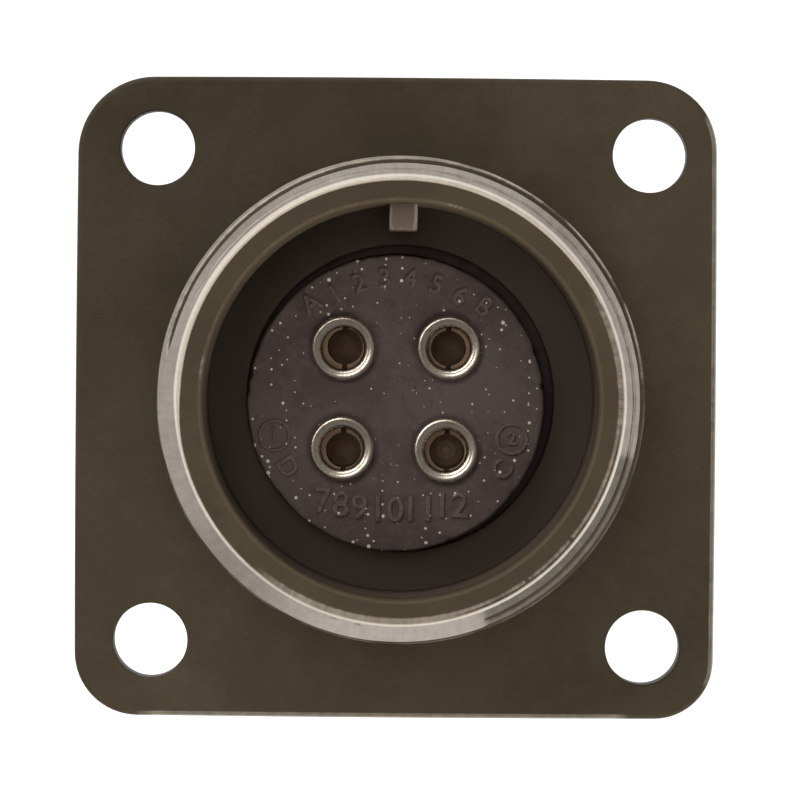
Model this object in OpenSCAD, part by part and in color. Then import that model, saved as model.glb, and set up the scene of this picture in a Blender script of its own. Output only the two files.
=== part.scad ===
// Box-mounting receptacle of a threaded circular connector, with four socket contacts.
// +Z is the way the mating plug leaves. z = 0 is the flange's rear face, which meets the panel.
// The polarising key is at +Y. All sizes are in millimetres.

/* [Flange] */
// Side of the square flange
flange_side = 29.8; // [28:0.1:34]
// Thickness of the flange
flange_thick = 2.8; // [2:0.1:4]
// Radius of the flange's four corners
corner_r = 3.1; // [1.5:0.1:5]
// Bevel along the flange's front and rear edges
flange_bevel = 0.25; // [0.1:0.05:0.6]
// Distance between mounting holes, along both sides
hole_pitch = 23; // [21:0.1:24.5]
// Diameter of the mounting holes
hole_d = 3.5; // [2.5:0.1:4]
// Bevel at both mouths of each mounting hole
hole_bevel = 0.12; // [0.05:0.01:0.3]

/* [Coupling barrel] */
// Major diameter of the coupling thread
thread_d = 22.2; // [20.6:0.1:24]
// Height of the barrel over the flange's front face
barrel_h = 14.3; // [12:0.1:18]
// Pitch of the coupling thread, whose turns are drawn as plain rings
thread_pitch = 1.27; // [1.27:0.01:2]
// Depth of the thread
thread_depth = 0.7; // [0.4:0.05:0.8]
// Depth under the rim of the first full groove's middle
thread_start = 2; // [1.8:0.1:3]
// Radial size of the taper at the start of the thread
thread_taper = 1.0; // [0.3:0.1:1.2]
// Length of that taper along the barrel
taper_len = 2.9; // [0.5:0.1:4]
// Width of the relief groove at the foot of the thread
relief_w = 1.6; // [0.6:0.1:3]
// Depth of the relief groove
relief_depth = 0.8; // [0.3:0.1:1.2]
// Diameter of the bore that takes the plug's sleeve
bore_d = 17.8; // [16.2:0.1:19]
// Depth of that bore under the rim
bore_depth = 11.1; // [9:0.1:12.5]
// Bevel at the mouth of the bore
bore_bevel = 0.17; // [0.05:0.01:0.4]

/* [Polarising key] */
// Width of the key on the bore's wall
key_w = 1.28; // [0.8:0.02:2.4]
// Height of the key over the bore's wall
key_h = 1.2; // [0.6:0.05:1.6]
// Depth of the key's front end under the rim
key_recess = 0.8; // [0.2:0.1:4]
// Lead-in bevel at the key's front end
key_lead = 0.42; // [0.1:0.02:0.55]

/* [Rear barrel] */
// Diameter of the barrel behind the flange
rear_d = 19.6; // [19:0.1:21.6]
// Length of the barrel behind the flange
rear_len = 9; // [8.4:0.1:14]
// Diameter of the pocket that holds the inserts
pocket_d = 17.2; // [16.4:0.1:17.7]
// Thickness of the lip between the bore and the pocket
lip_thick = 1.6; // [0.8:0.1:2.6]
// Width of the spline that stops the inserts turning
spline_w = 1.6; // [0.8:0.1:2.6]
// Height of the spline over the pocket's wall
spline_h = 0.9; // [0.5:0.05:1.2]
// Depth of the retaining ring's groove
groove_depth = 0.6; // [0.3:0.05:0.7]
// Distance from the barrel's rear end to that groove
groove_inset = 1.8; // [1:0.1:2.6]

/* [Inserts] */
// Diameter of the front insert's boss
boss_d = 13.6; // [11.5:0.1:14.2]
// Depth of the insert's face under the rim
face_depth = 7.3; // [5:0.1:8.6]
// Radius round the edge of the insert's face
face_round = 0.3; // [0.1:0.05:0.6]
// Thickness of the front insert behind the lip
front_stock = 4.8; // [4:0.1:5.8]
// Height of the collars round the contacts on the rear insert
tower_h = 0.8; // [0.3:0.1:1.4]
// Wall of those collars
tower_wall = 0.5; // [0.3:0.05:0.8]
// How far the inserts lie to one side, within their play
insert_shift = -0.2; // [-0.2:0.05:0.2]

/* [Retainers] */
// Thickness of the thrust washer
washer_thick = 0.6; // [0.4:0.1:1]
// Hole through the thrust washer
washer_hole_d = 12.8; // [11.5:0.1:14.4]
// Thickness of the retaining ring
ring_thick = 1.0; // [0.6:0.1:1.2]
// Width of the retaining ring's band opposite its gap
ring_band = 1.5; // [1.2:0.05:1.8]
// How much narrower the band is beside the gap
ring_taper = 0.5; // [0.2:0.05:0.7]
// Half angle of the retaining ring's gap
ring_gap = 14; // [8:1:24]
// Radius of the two lugs beside the gap
lug_r = 1.15; // [1:0.05:1.3]
// Diameter of the plier holes in the lugs
lug_hole_d = 1.1; // [0.8:0.05:1.3]

/* [Contacts] */
// Distance between neighbouring contacts
contact_pitch = 4.75; // [4.3:0.05:5.5]
// Diameter of the contact's body and of its hood
contact_d = 2.64; // [2.5:0.02:2.9]
// Bore that takes the mating pin
pin_bore_d = 1.62; // [1.4:0.02:1.7]
// Depth of that bore
pin_bore_depth = 5.85; // [4.6:0.05:7]
// Outside diameter of the springy tines
tine_d = 2.2; // [2.06:0.02:2.26]
// Length of the slots between the tines
slot_len = 4.2; // [3:0.1:4.5]
// Width of those slots
slot_w = 0.25; // [0.15:0.05:0.4]
// Depth of the tines' ends under the insert's face
tine_recess = 0.55; // [0.45:0.05:0.8]
// Diameter of the collar that is held between the inserts
collar_d = 3.4; // [3:0.1:3.8]
// Thickness of that collar
collar_thick = 1.0; // [0.6:0.1:1.4]

/* [Contact hoods] */
// Length of the hood behind the insert's face
hood_len = 6.2; // [5:0.1:7.6]
// Diameter of the hood's rolled lip
hood_lip_d = 2.98; // [2.92:0.02:3.3]
// Height of the lip over the insert's face
hood_lip_h = 0.36; // [0.25:0.02:0.6]
// Radius of the lip's outer roll
hood_roll_r = 0.12; // [0.08:0.01:0.16]
// Diameter of the hood's closed entry
hood_entry_d = 1.92; // [1.8:0.02:2]

/* [Solder cups] */
// Outside diameter of the solder cup
cup_d = 2.5; // [2.3:0.05:2.6]
// Bore of the solder cup
cup_bore_d = 1.8; // [1.4:0.05:1.9]
// Depth of that bore
cup_bore_depth = 6; // [4.5:0.1:7]
// How far the cups reach past the rear barrel
cup_reach = 2.5; // [1:0.1:5]
// Length over which one side of the cup is cut away
cup_cut = 2.4; // [1.5:0.1:3]

/* [Fits] */
// Radial play of the inserts in the shell
insert_play = 0.3; // [0.25:0.05:0.45]
// Radial play of a contact in the inserts
contact_play = 0.05; // [0.03:0.01:0.1]
// Radial play of the tines in the hood
tine_play = 0.04; // [0.02:0.01:0.06]
// Side play of the spline in the inserts' notches
spline_play = 0.25; // [0.22:0.01:0.4]
// Radial play of the washer and of the retaining ring
retainer_play = 0.12; // [0.05:0.01:0.2]
// Axial play of the retaining ring in its groove
groove_play = 0.1; // [0.05:0.05:0.3]

/* [Hidden] */
$fn = 96;
cut = 1;                       // how far a cutting tool runs past the face it opens
shell_colour = [0.26, 0.23, 0.18];
rubber_colour = [0.27, 0.22, 0.22];
silver_colour = [0.80, 0.77, 0.72];
brass_colour = [0.72, 0.56, 0.36];
steel_colour = [0.62, 0.62, 0.60];

rim_z = flange_thick + barrel_h;
lip_z = rim_z - bore_depth;                 // front of the lip, at the foot of the bore
seat_z = lip_z - lip_thick;                 // rear of the lip, where the insert seats
face_z = rim_z - face_depth;                // face of the front insert
parting_z = seat_z - front_stock;           // where the two inserts meet
ring_z = groove_inset - rear_len;           // rear of the retaining ring and of its groove
washer_z = ring_z + ring_thick;             // rear of the thrust washer
insert_end_z = washer_z + washer_thick;     // rear of the rear insert
rear_stock = parting_z - insert_end_z;      // thickness of the rear insert
cup_z = -rear_len - cup_reach;
thread_foot = flange_thick + relief_w + relief_depth;   // lower end of the thread
groove_count = floor((rim_z - thread_start - thread_foot) / thread_pitch - 0.5) + 1;

pocket_r = pocket_d / 2;
insert_r = pocket_r - insert_play;
lip_r = boss_d / 2 + insert_play;
groove_r = pocket_r + groove_depth;
ring_r = groove_r - retainer_play;

cavity_d = contact_d + 2 * contact_play;
cup_hole_d = cup_d + 2 * contact_play;
hood_bore_d = tine_d + 2 * tine_play;
shoulder_z = face_z - hood_len;             // where the hood seats on the contact
tine_z = face_z - tine_recess;
entry_depth = tine_recess - 0.1;            // the hood's closed entry ends just over the tines

// Contact positions on the mating face, clockwise from the upper left
CONTACTS = [for (s = [[-1, 1], [1, 1], [1, -1], [-1, -1]]) s * contact_pitch / 2];

// Upright disc from z0 to z1 with a 45 degree bevel at each end
module bevelled_disc(r, z0, z1, bevel0, bevel1) {
    rotate_extrude()
        polygon([[0, z0], [r - bevel0, z0], [r, z0 + bevel0],
                 [r, z1 - bevel1], [r - bevel1, z1], [0, z1]]);
}

// Hole right through from z0 to z1, with a bevel at each mouth
module bevelled_hole(r, z0, z1, bevel) {
    rotate_extrude()
        polygon([[0, z0 - cut], [r + bevel + cut, z0 - cut], [r, z0 + bevel],
                 [r, z1 - bevel], [r + bevel + cut, z1 + cut], [0, z1 + cut]]);
}

// Bar along X that gives two straight sides of the flange, with their bevels
module flange_bar() {
    half = flange_side / 2;
    b = flange_bevel;
    length = flange_side - 2 * corner_r;
    translate([length / 2, 0, 0]) rotate([90, 0, -90]) linear_extrude(height = length)
        polygon([[-half + b, 0], [half - b, 0], [half, b], [half, flange_thick - b],
                 [half - b, flange_thick], [-half + b, flange_thick],
                 [-half, flange_thick - b], [-half, b]]);
}

module flange_plate() {
    corner = flange_side / 2 - corner_r;
    flange_bar();
    rotate([0, 0, 90]) flange_bar();
    for (x = [-1, 1], y = [-1, 1]) translate([x * corner, y * corner, 0])
        bevelled_disc(corner_r, 0, flange_thick, flange_bevel, flange_bevel);
}

// Outside of both barrels, turned in one piece with a core for the flange
module barrel_outside() {
    thread_r = thread_d / 2;
    root_r = thread_r - relief_depth;
    rear_r = rear_d / 2;
    relief_z = flange_thick + relief_w;
    rotate_extrude()
        polygon([[0, -rear_len], [rear_r - flange_bevel, -rear_len],
                 [rear_r, flange_bevel - rear_len], [rear_r, flange_thick / 2],
                 [root_r, flange_thick / 2], [root_r, relief_z],
                 [thread_r, thread_foot], [thread_r, rim_z - taper_len],
                 [thread_r - thread_taper, rim_z], [0, rim_z]]);
}

// Grooves of the coupling thread, as rings with 60 degree flanks and a narrow flat bottom
module thread_grooves() {
    root_r = thread_d / 2 - thread_depth;
    bottom = thread_pitch / 16;
    reach = thread_depth + 0.15;
    mouth = bottom + reach * tan(30);
    rotate_extrude() for (i = [0 : groove_count - 1])
        translate([root_r, rim_z - thread_start - i * thread_pitch])
            polygon([[0, -bottom], [reach, -mouth], [reach, mouth], [0, bottom]]);
}

// Everything that is turned out of the shell from either end
module barrel_inside() {
    bore_r = bore_d / 2;
    rotate_extrude()
        polygon([[0, -rear_len - cut], [pocket_r + flange_bevel + cut, -rear_len - cut],
                 [pocket_r, flange_bevel - rear_len], [pocket_r, ring_z],
                 [groove_r, ring_z], [groove_r, washer_z + groove_play],
                 [pocket_r, washer_z + groove_play], [pocket_r, seat_z],
                 [lip_r, seat_z], [lip_r, lip_z], [bore_r, lip_z],
                 [bore_r, rim_z - bore_bevel], [bore_r + bore_bevel + cut, rim_z + cut],
                 [0, rim_z + cut]]);
}

// Rib on a round wall of radius r, on the +Y side, with a lead-in bevel at its front end.
// It runs a little into the wall, so that the two are one piece.
module wall_rib(r, w, h, z0, z1, lead) {
    into_wall = 0.4;
    rotate([90, 0, 90]) translate([0, 0, -w / 2]) linear_extrude(height = w)
        polygon([[r - h, z0], [r + into_wall, z0], [r + into_wall, z1],
                 [r - h + lead, z1], [r - h, z1 - lead]]);
}

module shell() {
    spline_end = insert_end_z + groove_play;
    color(shell_colour) {
        difference() {
            union() {
                flange_plate();
                barrel_outside();
            }
            barrel_inside();
            thread_grooves();
            for (x = [-1, 1], y = [-1, 1])
                translate([x * hole_pitch / 2, y * hole_pitch / 2, 0])
                    bevelled_hole(hole_d / 2, 0, flange_thick, hole_bevel);
        }
        wall_rib(bore_d / 2, key_w, key_h, lip_z, rim_z - key_recess, key_lead);
        rotate([0, 0, 180]) wall_rib(pocket_r, spline_w, spline_h, spline_end, seat_z, 0);
    }
}

// Runs its children once at each contact
module at_contacts() {
    for (p = CONTACTS) translate([p.x, p.y, 0]) children();
}

// Notch for the spline; it clears the spline wherever the insert lies in its play
module spline_notch(z0, z1) {
    w = spline_w + 2 * spline_play;
    inner = pocket_r - spline_h - insert_play;
    translate([-w / 2, -pocket_r - cut, z0]) cube([w, pocket_r + cut - inner, z1 - z0]);
}

module front_insert() {
    boss_r = boss_d / 2;
    color(rubber_colour) translate([insert_shift, 0, 0]) difference() {
        union() {
            rotate_extrude() {
                polygon([[0, parting_z], [insert_r, parting_z], [insert_r, seat_z],
                         [boss_r, seat_z], [boss_r, face_z - face_round],
                         [boss_r - face_round, face_z - face_round],
                         [boss_r - face_round, face_z], [0, face_z]]);
                translate([boss_r - face_round, face_z - face_round]) circle(face_round);
            }
        }
        spline_notch(parting_z - cut, seat_z + cut);
        at_contacts() {
            translate([0, 0, parting_z - cut])
                cylinder(d = cavity_d, h = face_z - parting_z + 2 * cut);
            translate([0, 0, parting_z - cut])
                cylinder(d = collar_d + 2 * contact_play, h = collar_thick + cut);
        }
    }
}

module rear_insert() {
    color(rubber_colour) translate([insert_shift, 0, 0]) difference() {
        union() {
            translate([0, 0, insert_end_z]) cylinder(r = insert_r, h = rear_stock);
            at_contacts() translate([0, 0, insert_end_z - tower_h])
                cylinder(d = cup_hole_d + 2 * tower_wall, h = tower_h + rear_stock / 2);
        }
        spline_notch(insert_end_z - cut, parting_z + cut);
        at_contacts() translate([0, 0, insert_end_z - tower_h - cut])
            cylinder(d = cup_hole_d, h = rear_stock + tower_h + 2 * cut);
    }
}

module thrust_washer() {
    color(steel_colour) translate([0, 0, washer_z]) difference() {
        cylinder(r = pocket_r - retainer_play, h = washer_thick);
        translate([0, 0, -cut]) cylinder(d = washer_hole_d, h = washer_thick + 2 * cut);
    }
}

// Internal retaining ring: the band narrows towards the gap, which has a lug on each side
module retaining_ring() {
    band_r = ring_r - ring_band + ring_taper / 2;
    lug_at = ring_r - lug_r - groove_depth;
    lug_angle = ring_gap + asin(lug_r / lug_at);
    color(steel_colour) translate([0, 0, ring_z]) linear_extrude(height = ring_thick)
        difference() {
            union() {
                difference() {
                    circle(ring_r);
                    translate([0, ring_taper / 2]) circle(band_r);
                    polygon([[0, 0], for (a = [-1, 0, 1])
                        2 * ring_r * [sin(a * lug_angle), cos(a * lug_angle)]]);
                }
                for (side = [-1, 1]) rotate(side * lug_angle)
                    translate([0, lug_at]) circle(lug_r);
            }
            for (side = [-1, 1]) rotate(side * lug_angle)
                translate([0, lug_at]) circle(d = lug_hole_d);
        }
}

// One contact, on its own axis: slotted tines, body, collar and solder cup, turned from bar
module socket_body() {
    body_r = contact_d / 2;
    difference() {
        rotate_extrude()
            polygon([[0, cup_z], [cup_d / 2, cup_z], [cup_d / 2, parting_z],
                     [collar_d / 2, parting_z], [collar_d / 2, parting_z + collar_thick],
                     [body_r, parting_z + collar_thick], [body_r, shoulder_z],
                     [tine_d / 2, shoulder_z], [tine_d / 2, tine_z], [0, tine_z]]);
        translate([0, 0, tine_z - pin_bore_depth])
            cylinder(d = pin_bore_d, h = pin_bore_depth + cut);
        translate([-slot_w / 2, -body_r, tine_z - slot_len])
            cube([slot_w, contact_d, slot_len + cut]);
        translate([0, 0, cup_z - cut]) cylinder(d = cup_bore_d, h = cup_bore_depth + cut);
        cup_opening();
    }
}

// The side of the solder cup that is milled away, with a round run-out
module cup_opening() {
    run_out = cup_d / 2;
    translate([-cup_d, 0, cup_z - cut]) cube([2 * cup_d, cup_d, cut + cup_cut - run_out]);
    translate([0, run_out, cup_z + cup_cut - run_out]) rotate([0, 90, 0])
        cylinder(r = run_out, h = 2 * cup_d, center = true);
}

// Thin sleeve over the tines. Its rolled lip stands on the insert's face, and the funnel
// inside the lip leads the pin into the closed entry.
module contact_hood() {
    lip_r = hood_lip_d / 2;
    entry_r = hood_entry_d / 2;
    lip_top = face_z + hood_lip_h;
    crest_r = lip_r - hood_roll_r;
    funnel_z = lip_top - (crest_r - hood_roll_r / 2 - entry_r) * 0.85;
    rotate_extrude() {
        polygon([[hood_bore_d / 2, shoulder_z], [contact_d / 2, shoulder_z],
                 [contact_d / 2, face_z], [lip_r, face_z], [lip_r, lip_top - hood_roll_r],
                 [crest_r, lip_top - hood_roll_r / 2], [crest_r - hood_roll_r / 2, lip_top],
                 [entry_r, funnel_z], [entry_r, face_z - entry_depth],
                 [hood_bore_d / 2, face_z - entry_depth]]);
        translate([crest_r, lip_top - hood_roll_r]) circle(hood_roll_r);
    }
}

module socket(i) {
    color(brass_colour) translate([CONTACTS[i].x + insert_shift, CONTACTS[i].y, 0])
        socket_body();
}

module hood(i) {
    color(silver_colour) translate([CONTACTS[i].x + insert_shift, CONTACTS[i].y, 0])
        contact_hood();
}

shell();
front_insert();
rear_insert();
thrust_washer();
retaining_ring();
socket(0);  // socket_a
socket(1);  // socket_b
socket(2);  // socket_c
socket(3);  // socket_d
hood(0);  // hood_a
hood(1);  // hood_b
hood(2);  // hood_c
hood(3);  // hood_d
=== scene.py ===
"""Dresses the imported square-flange receptacle and sets its stage.

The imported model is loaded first, as a fixed frame. Each operator then makes one
piece, or one group of like pieces, in the frame's own metres: +Z is the way the
mating plug leaves, +Y is the side of the polarising key, and z = 0 is the rear
face of the flange.
"""
import math

import bmesh
import bpy
import numpy as np
from bpy.props import (
    BoolProperty, FloatProperty, FloatVectorProperty, IntProperty, PointerProperty)
from mathutils import Matrix, Vector
from mathutils.geometry import delaunay_2d_cdt
from mathutils.kdtree import KDTree


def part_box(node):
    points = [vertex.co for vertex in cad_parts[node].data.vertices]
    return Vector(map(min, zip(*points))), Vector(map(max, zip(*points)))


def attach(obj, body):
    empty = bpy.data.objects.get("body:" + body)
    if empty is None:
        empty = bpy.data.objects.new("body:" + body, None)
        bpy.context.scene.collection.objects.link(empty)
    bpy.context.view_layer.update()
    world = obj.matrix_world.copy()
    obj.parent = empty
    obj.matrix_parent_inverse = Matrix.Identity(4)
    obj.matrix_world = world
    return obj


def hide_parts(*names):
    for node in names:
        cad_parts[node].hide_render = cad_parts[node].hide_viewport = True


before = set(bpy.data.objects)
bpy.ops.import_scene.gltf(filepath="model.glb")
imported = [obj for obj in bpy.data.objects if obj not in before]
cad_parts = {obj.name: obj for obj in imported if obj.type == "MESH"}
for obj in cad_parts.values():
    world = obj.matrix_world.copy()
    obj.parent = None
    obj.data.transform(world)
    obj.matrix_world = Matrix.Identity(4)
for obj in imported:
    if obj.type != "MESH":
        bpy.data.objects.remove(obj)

bl_info = {
    "name": "Square-flange receptacle",
    "version": (1, 0, 0),
    "blender": (4, 5, 0),
    "location": "View3D > Sidebar > Receptacle",
    "description": "Threaded shell, rubber inserts, hooded contacts and their stage",
    "category": "Object",
}

MM = 0.001
TURN = 2 * math.pi
BODY = "root"
CONTACTS = ("a", "b", "c", "d")
SHELL_LOW, SHELL_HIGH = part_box("shell")
FRONT_LOW, FRONT_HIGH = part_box("front_insert")
REAR_LOW, REAR_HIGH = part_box("rear_insert")
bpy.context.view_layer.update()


def contact_centre(letter):
    """Where a contact's axis crosses the XY plane."""
    low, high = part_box("hood_" + letter)
    return (low + high).xy / 2


# ---------------------------------------------------------------- sizes and colours

def length(name, description, default):
    return FloatProperty(name=name, description=description, default=default * MM,
                         min=0.0, precision=5, unit="LENGTH")


def place(name, description, default):
    return FloatProperty(name=name, description=description, default=default,
                         precision=5, unit="LENGTH")


def angle(name, description, degrees):
    return FloatProperty(name=name, description=description,
                         default=math.radians(degrees), subtype="ANGLE")


def share(name, description, default):
    return FloatProperty(name=name, description=description, default=default,
                         min=0.0, max=1.0, subtype="FACTOR")


def colour(name, description, default):
    return FloatVectorProperty(name=name, description=description, default=default,
                               min=0.0, max=1.0, size=3, subtype="COLOR")


class FlangeSizes(bpy.types.PropertyGroup):
    side: length("Side", "Side of the square flange", 29.85)
    thick: length("Thickness", "Thickness of the flange", 2.8)
    corners: FloatVectorProperty(
        name="Corner radii", description="Radii of the four corners, from +X +Y round",
        default=(3.3 * MM, 3.6 * MM, 2.95 * MM, 2.75 * MM), size=4, unit="LENGTH")
    bevel: length("Edge round", "Rounding along the flange's edges", 0.2)
    bow: length("Bow", "How far each side swells at its middle", 0.04)
    shift: place("Shift", "How far the plate lies off the barrel's axis", -0.2 * MM)
    skew: angle("Skew", "Turn of the plate against its holes", 0.45)
    hole_reach: length("Hole reach", "Mounting holes from each centre line", 11.5)
    hole_radius: length("Hole radius", "Radius of the mounting holes", 1.735)
    hole_bevel: length("Hole bevel", "Bevel at the mouths of the holes", 0.08)


class BarrelSizes(bpy.types.PropertyGroup):
    columns: IntProperty(name="Columns", description="Facets round the barrel",
                         default=480, min=96)
    thread_radius: length("Thread radius", "Major radius of the thread", 11.1)
    root_radius: length("Root radius", "Radius at the bottom of the thread", 10.35)
    rim_radius: length("Rim radius", "Outer radius of the front face", 10.13)
    seam_radius: length("Seam radius", "Radius where ring and barrel meet", 9.6)
    pitch: length("Pitch", "Distance from one turn to the next", 1.27)
    crest: length("Crest", "Width of the flat on each crest", 0.16)
    start: place("Start", "Height of a crest at angle zero", 15.18 * MM)
    taper: length("Taper", "Length of the taper at the thread's start", 2.85)
    relief_radius: length("Relief radius", "Radius of the groove at the foot", 10.3)
    relief_width: length("Relief width", "Width of the groove at the foot", 1.6)
    rim_round: length("Rim round", "Rounding of the front face's outer corner", 0.08)
    bore_radius: length("Bore radius", "Radius of the bore for the plug", 8.9)
    mouth: length("Mouth bevel", "Rounding at the mouth of the bore", 0.24)
    lip_top: place("Lip front", "Height of the lip's front face", 6.0 * MM)
    lip_rear: place("Lip rear", "Height of the lip's rear face", 4.4 * MM)
    lip_radius: length("Lip radius", "Radius of the hole through the lip", 7.1)
    pocket_radius: length("Pocket radius", "Radius of the inserts' pocket", 8.6)
    groove_radius: length("Groove radius", "Radius of the ring groove", 9.2)
    groove_low: place("Groove low", "Rear side of the ring groove", -7.2 * MM)
    groove_high: place("Groove high", "Front side of the ring groove", -6.1 * MM)
    rear_radius: length("Rear radius", "Radius of the rear barrel", 9.8)
    worn_from: angle("Worn from", "Where the flattened turns begin", 170)
    worn_to: angle("Worn to", "Where the flattened turns end", 292)


class KeySizes(bpy.types.PropertyGroup):
    width: length("Width", "Width of the key", 1.28)
    inner: length("Inner face", "Distance of its inner face from the axis", 7.7)
    top: place("Front end", "Height of the key's front end", 16.3 * MM)
    lead: length("Lead-in", "Bevel at the front end", 0.42)
    spline_width: length("Spline width", "Width of the inserts' spline", 1.6)
    spline_inner: length("Spline face", "Distance of the spline's face from the axis", 7.7)
    spline_low: place("Spline low", "Rear end of the spline", -5.5 * MM)


class InsertSizes(bpy.types.PropertyGroup):
    boss_drop: length("Boss drop", "How far the boss stands below the axis", 0.17)
    boss_radius: length("Boss radius", "Radius of the raised boss", 6.8)
    collar_radius: length("Collar radius", "Radius held behind the lip", 8.3)
    edge_round: length("Edge round", "Rounding at the edge of the face", 0.14)
    ragged: length("Ragged edge", "How far the moulded edge wanders", 0.11)
    dimple: length("Dimple", "Depth of the dip round each contact", 0.14)
    spacing: length("Spacing", "Distance between points on the faces", 0.16)
    hole_radius: length("Hole radius", "Radius of the contact holes", 1.35)
    seat_radius: length("Seat radius", "Radius of the seats for the collars", 1.73)
    seat_top: place("Seat top", "Front of the seats for the collars", 0.65 * MM)
    cup_radius: length("Cup radius", "Radius of the holes for the solder cups", 1.3)
    collar_wall: length("Collar wall", "Wall of the rear insert's collars", 0.5)
    rear_face: place("Rear face", "Height of the rear insert's face", -5.6 * MM)
    mark_height: length("Mark height", "How far the moulded marks stand up", 0.11)
    letter_size: length("Letter size", "Height of the contact letters", 1.15)
    seed: IntProperty(name="Seed", description="Fixes what is random", default=7)


class HoodSizes(bpy.types.PropertyGroup):
    body_radius: length("Body radius", "Radius of the hood's tube", 1.32)
    lip_radius: length("Lip radius", "Radius of the rolled lip", 1.49)
    entry_radius: length("Entry radius", "Radius of the closed entry", 0.96)
    inner_radius: length("Inner radius", "Radius inside the tube", 1.14)
    columns: IntProperty(name="Columns", description="Facets round a hood",
                         default=96, min=24)
    seed: IntProperty(name="Seed", description="Fixes each hood's turn", default=3)


class FinishColours(bpy.types.PropertyGroup):
    olive: colour("Olive", "Chromate finish of the shell", (0.050, 0.040, 0.0255))
    # olive_pale also paints the highlight at the bore's mouth
    olive_pale: colour("Pale olive", "Lighter patches of the finish",
                       (0.063, 0.051, 0.0335))
    bare: colour("Bare metal", "Corners and crests rubbed bright", (0.94, 0.88, 0.81))
    dull: colour("Dull metal", "Turns where the finish has worn away",
                 (0.150, 0.124, 0.094))
    # grime darkens the fine grain of the finish, and also paints shade into the thread
    # grooves
    grime_and_groove_shade: colour("Grime", "Dirt in the grooves", (0.035, 0.027, 0.018))
    # bore: painted shade, a darker colour in place of the shade inside the bore; a paler copy
    # of it paints light on the bore's wall
    bore: colour("Bore", "Darker finish inside the bore", (0.085, 0.066, 0.056))
    rubber: colour("Rubber", "Moulded inserts", (0.055, 0.039, 0.0405))
    rubber_pale: colour("Pale rubber", "Rubbed patches of the inserts",
                        (0.080, 0.064, 0.063))
    dust: colour("Dust", "Specks on the front insert", (0.62, 0.56, 0.52))
    silver: colour("Silver", "Plating of the hoods", (0.86, 0.80, 0.74))
    # tarnish: stains on the hoods; half of it also darkens them low down, below the lip's
    # crest
    tarnish: colour("Tarnish", "Stains on the hoods", (0.34, 0.26, 0.19))
    brass: colour("Brass", "Contacts", (0.30, 0.205, 0.142))
    steel: colour("Steel", "Washer and retaining ring", (0.55, 0.54, 0.52))


class StageSettings(bpy.types.PropertyGroup):
    lens: FloatProperty(name="Lens", description="Focal length in millimetres",
                        default=385.0)
    distance: length("Distance", "Camera to the flange's front face", 399.8)
    tilt: angle("Tilt", "How far the camera leans towards +Y", 0.55)
    swing: angle("Swing", "How far the camera leans towards -X", 0.12)
    roll: angle("Roll", "Turn of the camera about its own axis", 0.9)
    aim: FloatVectorProperty(
        name="Aim", description="Point of the flange's front face at the centre",
        default=(0.0, -0.10 * MM, 2.8 * MM), size=3, unit="LENGTH")
    floor: place("Floor", "Height of the floor", -11.52 * MM)
    floor_half: length("Floor half side", "Half the side of the floor", 900.0)
    glow: FloatProperty(name="Glow", description="Brightness of the pale floor",
                        default=1.02)
    main_power: FloatProperty(name="Main light", description="Watts", default=0.85)
    fill_power: FloatProperty(name="Fill light", description="Watts", default=0.175)
    top_power: FloatProperty(name="Top light", description="Watts", default=0.42)
    surround: FloatProperty(name="Surround", description="Brightness all round",
                            default=0.15)


SETTINGS = {
    "receptacle_flange": FlangeSizes,
    "receptacle_barrel": BarrelSizes,
    "receptacle_key": KeySizes,
    "receptacle_insert": InsertSizes,
    "receptacle_hood": HoodSizes,
    "receptacle_finish": FinishColours,
    "receptacle_stage": StageSettings,
}


# ---------------------------------------------------------------- node helpers

class Socket:
    """A node's output that takes part in sums as a plain number does."""

    def __init__(self, graph, out):
        self.graph, self.out = graph, out

    def __add__(self, other):
        return self.graph.math("ADD", self, other)

    def __radd__(self, other):
        return self.graph.math("ADD", other, self)

    def __sub__(self, other):
        return self.graph.math("SUBTRACT", self, other)

    def __rsub__(self, other):
        return self.graph.math("SUBTRACT", other, self)

    def __mul__(self, other):
        return self.graph.math("MULTIPLY", self, other)

    def __rmul__(self, other):
        return self.graph.math("MULTIPLY", other, self)

    def __truediv__(self, other):
        return self.graph.math("DIVIDE", self, other)


class Graph:
    """Short ways to add nodes to a shader or geometry tree."""

    def __init__(self, tree):
        self.tree = tree

    def feed(self, target, value):
        if isinstance(value, Socket):
            value = value.out
        if isinstance(value, bpy.types.NodeSocket):
            self.tree.links.new(value, target)
        elif value is not None:
            if target.type == "RGBA" and len(value) == 3:
                value = (*value, 1.0)
            target.default_value = value

    def node(self, kind, inputs=None, **settings):
        made = self.tree.nodes.new(kind)
        for name, value in settings.items():
            setattr(made, name, value)
        for name, value in (inputs or {}).items():
            self.feed(made.inputs[name], value)
        return made

    def math(self, operation, *values, clamp=False):
        made = self.node("ShaderNodeMath", operation=operation, use_clamp=clamp)
        for target, value in zip(made.inputs, values):
            self.feed(target, value)
        return Socket(self, made.outputs[0])

    def ramp(self, value, low, high, to_low=0.0, to_high=1.0, smooth=True):
        """value taken from low..high to to_low..to_high, and held at the ends."""
        made = self.node("ShaderNodeMapRange",
                         interpolation_type="SMOOTHSTEP" if smooth else "LINEAR")
        for target, number in zip(made.inputs, (value, low, high, to_low, to_high)):
            self.feed(target, number)
        return Socket(self, made.outputs[0])

    def blend(self, factor, first, second, mode="MIX"):
        made = self.node("ShaderNodeMix", data_type="RGBA", blend_type=mode)
        self.feed(made.inputs[0], factor)
        self.feed(made.inputs[6], first)
        self.feed(made.inputs[7], second)
        return made.outputs[2]

    def noise(self, where, scale, detail=3.0, rough=0.55, squash=None, twist=0.0):
        """Cloudy noise from 0 to 1; scale is in features per millimetre."""
        if squash:
            where = self.node("ShaderNodeMapping", {"Vector": where, "Scale": squash}
                              ).outputs[0]
        made = self.node("ShaderNodeTexNoise",
                         {"Vector": where, "Scale": scale, "Detail": detail,
                          "Roughness": rough, "Distortion": twist})
        return Socket(self, made.outputs[0])


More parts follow.
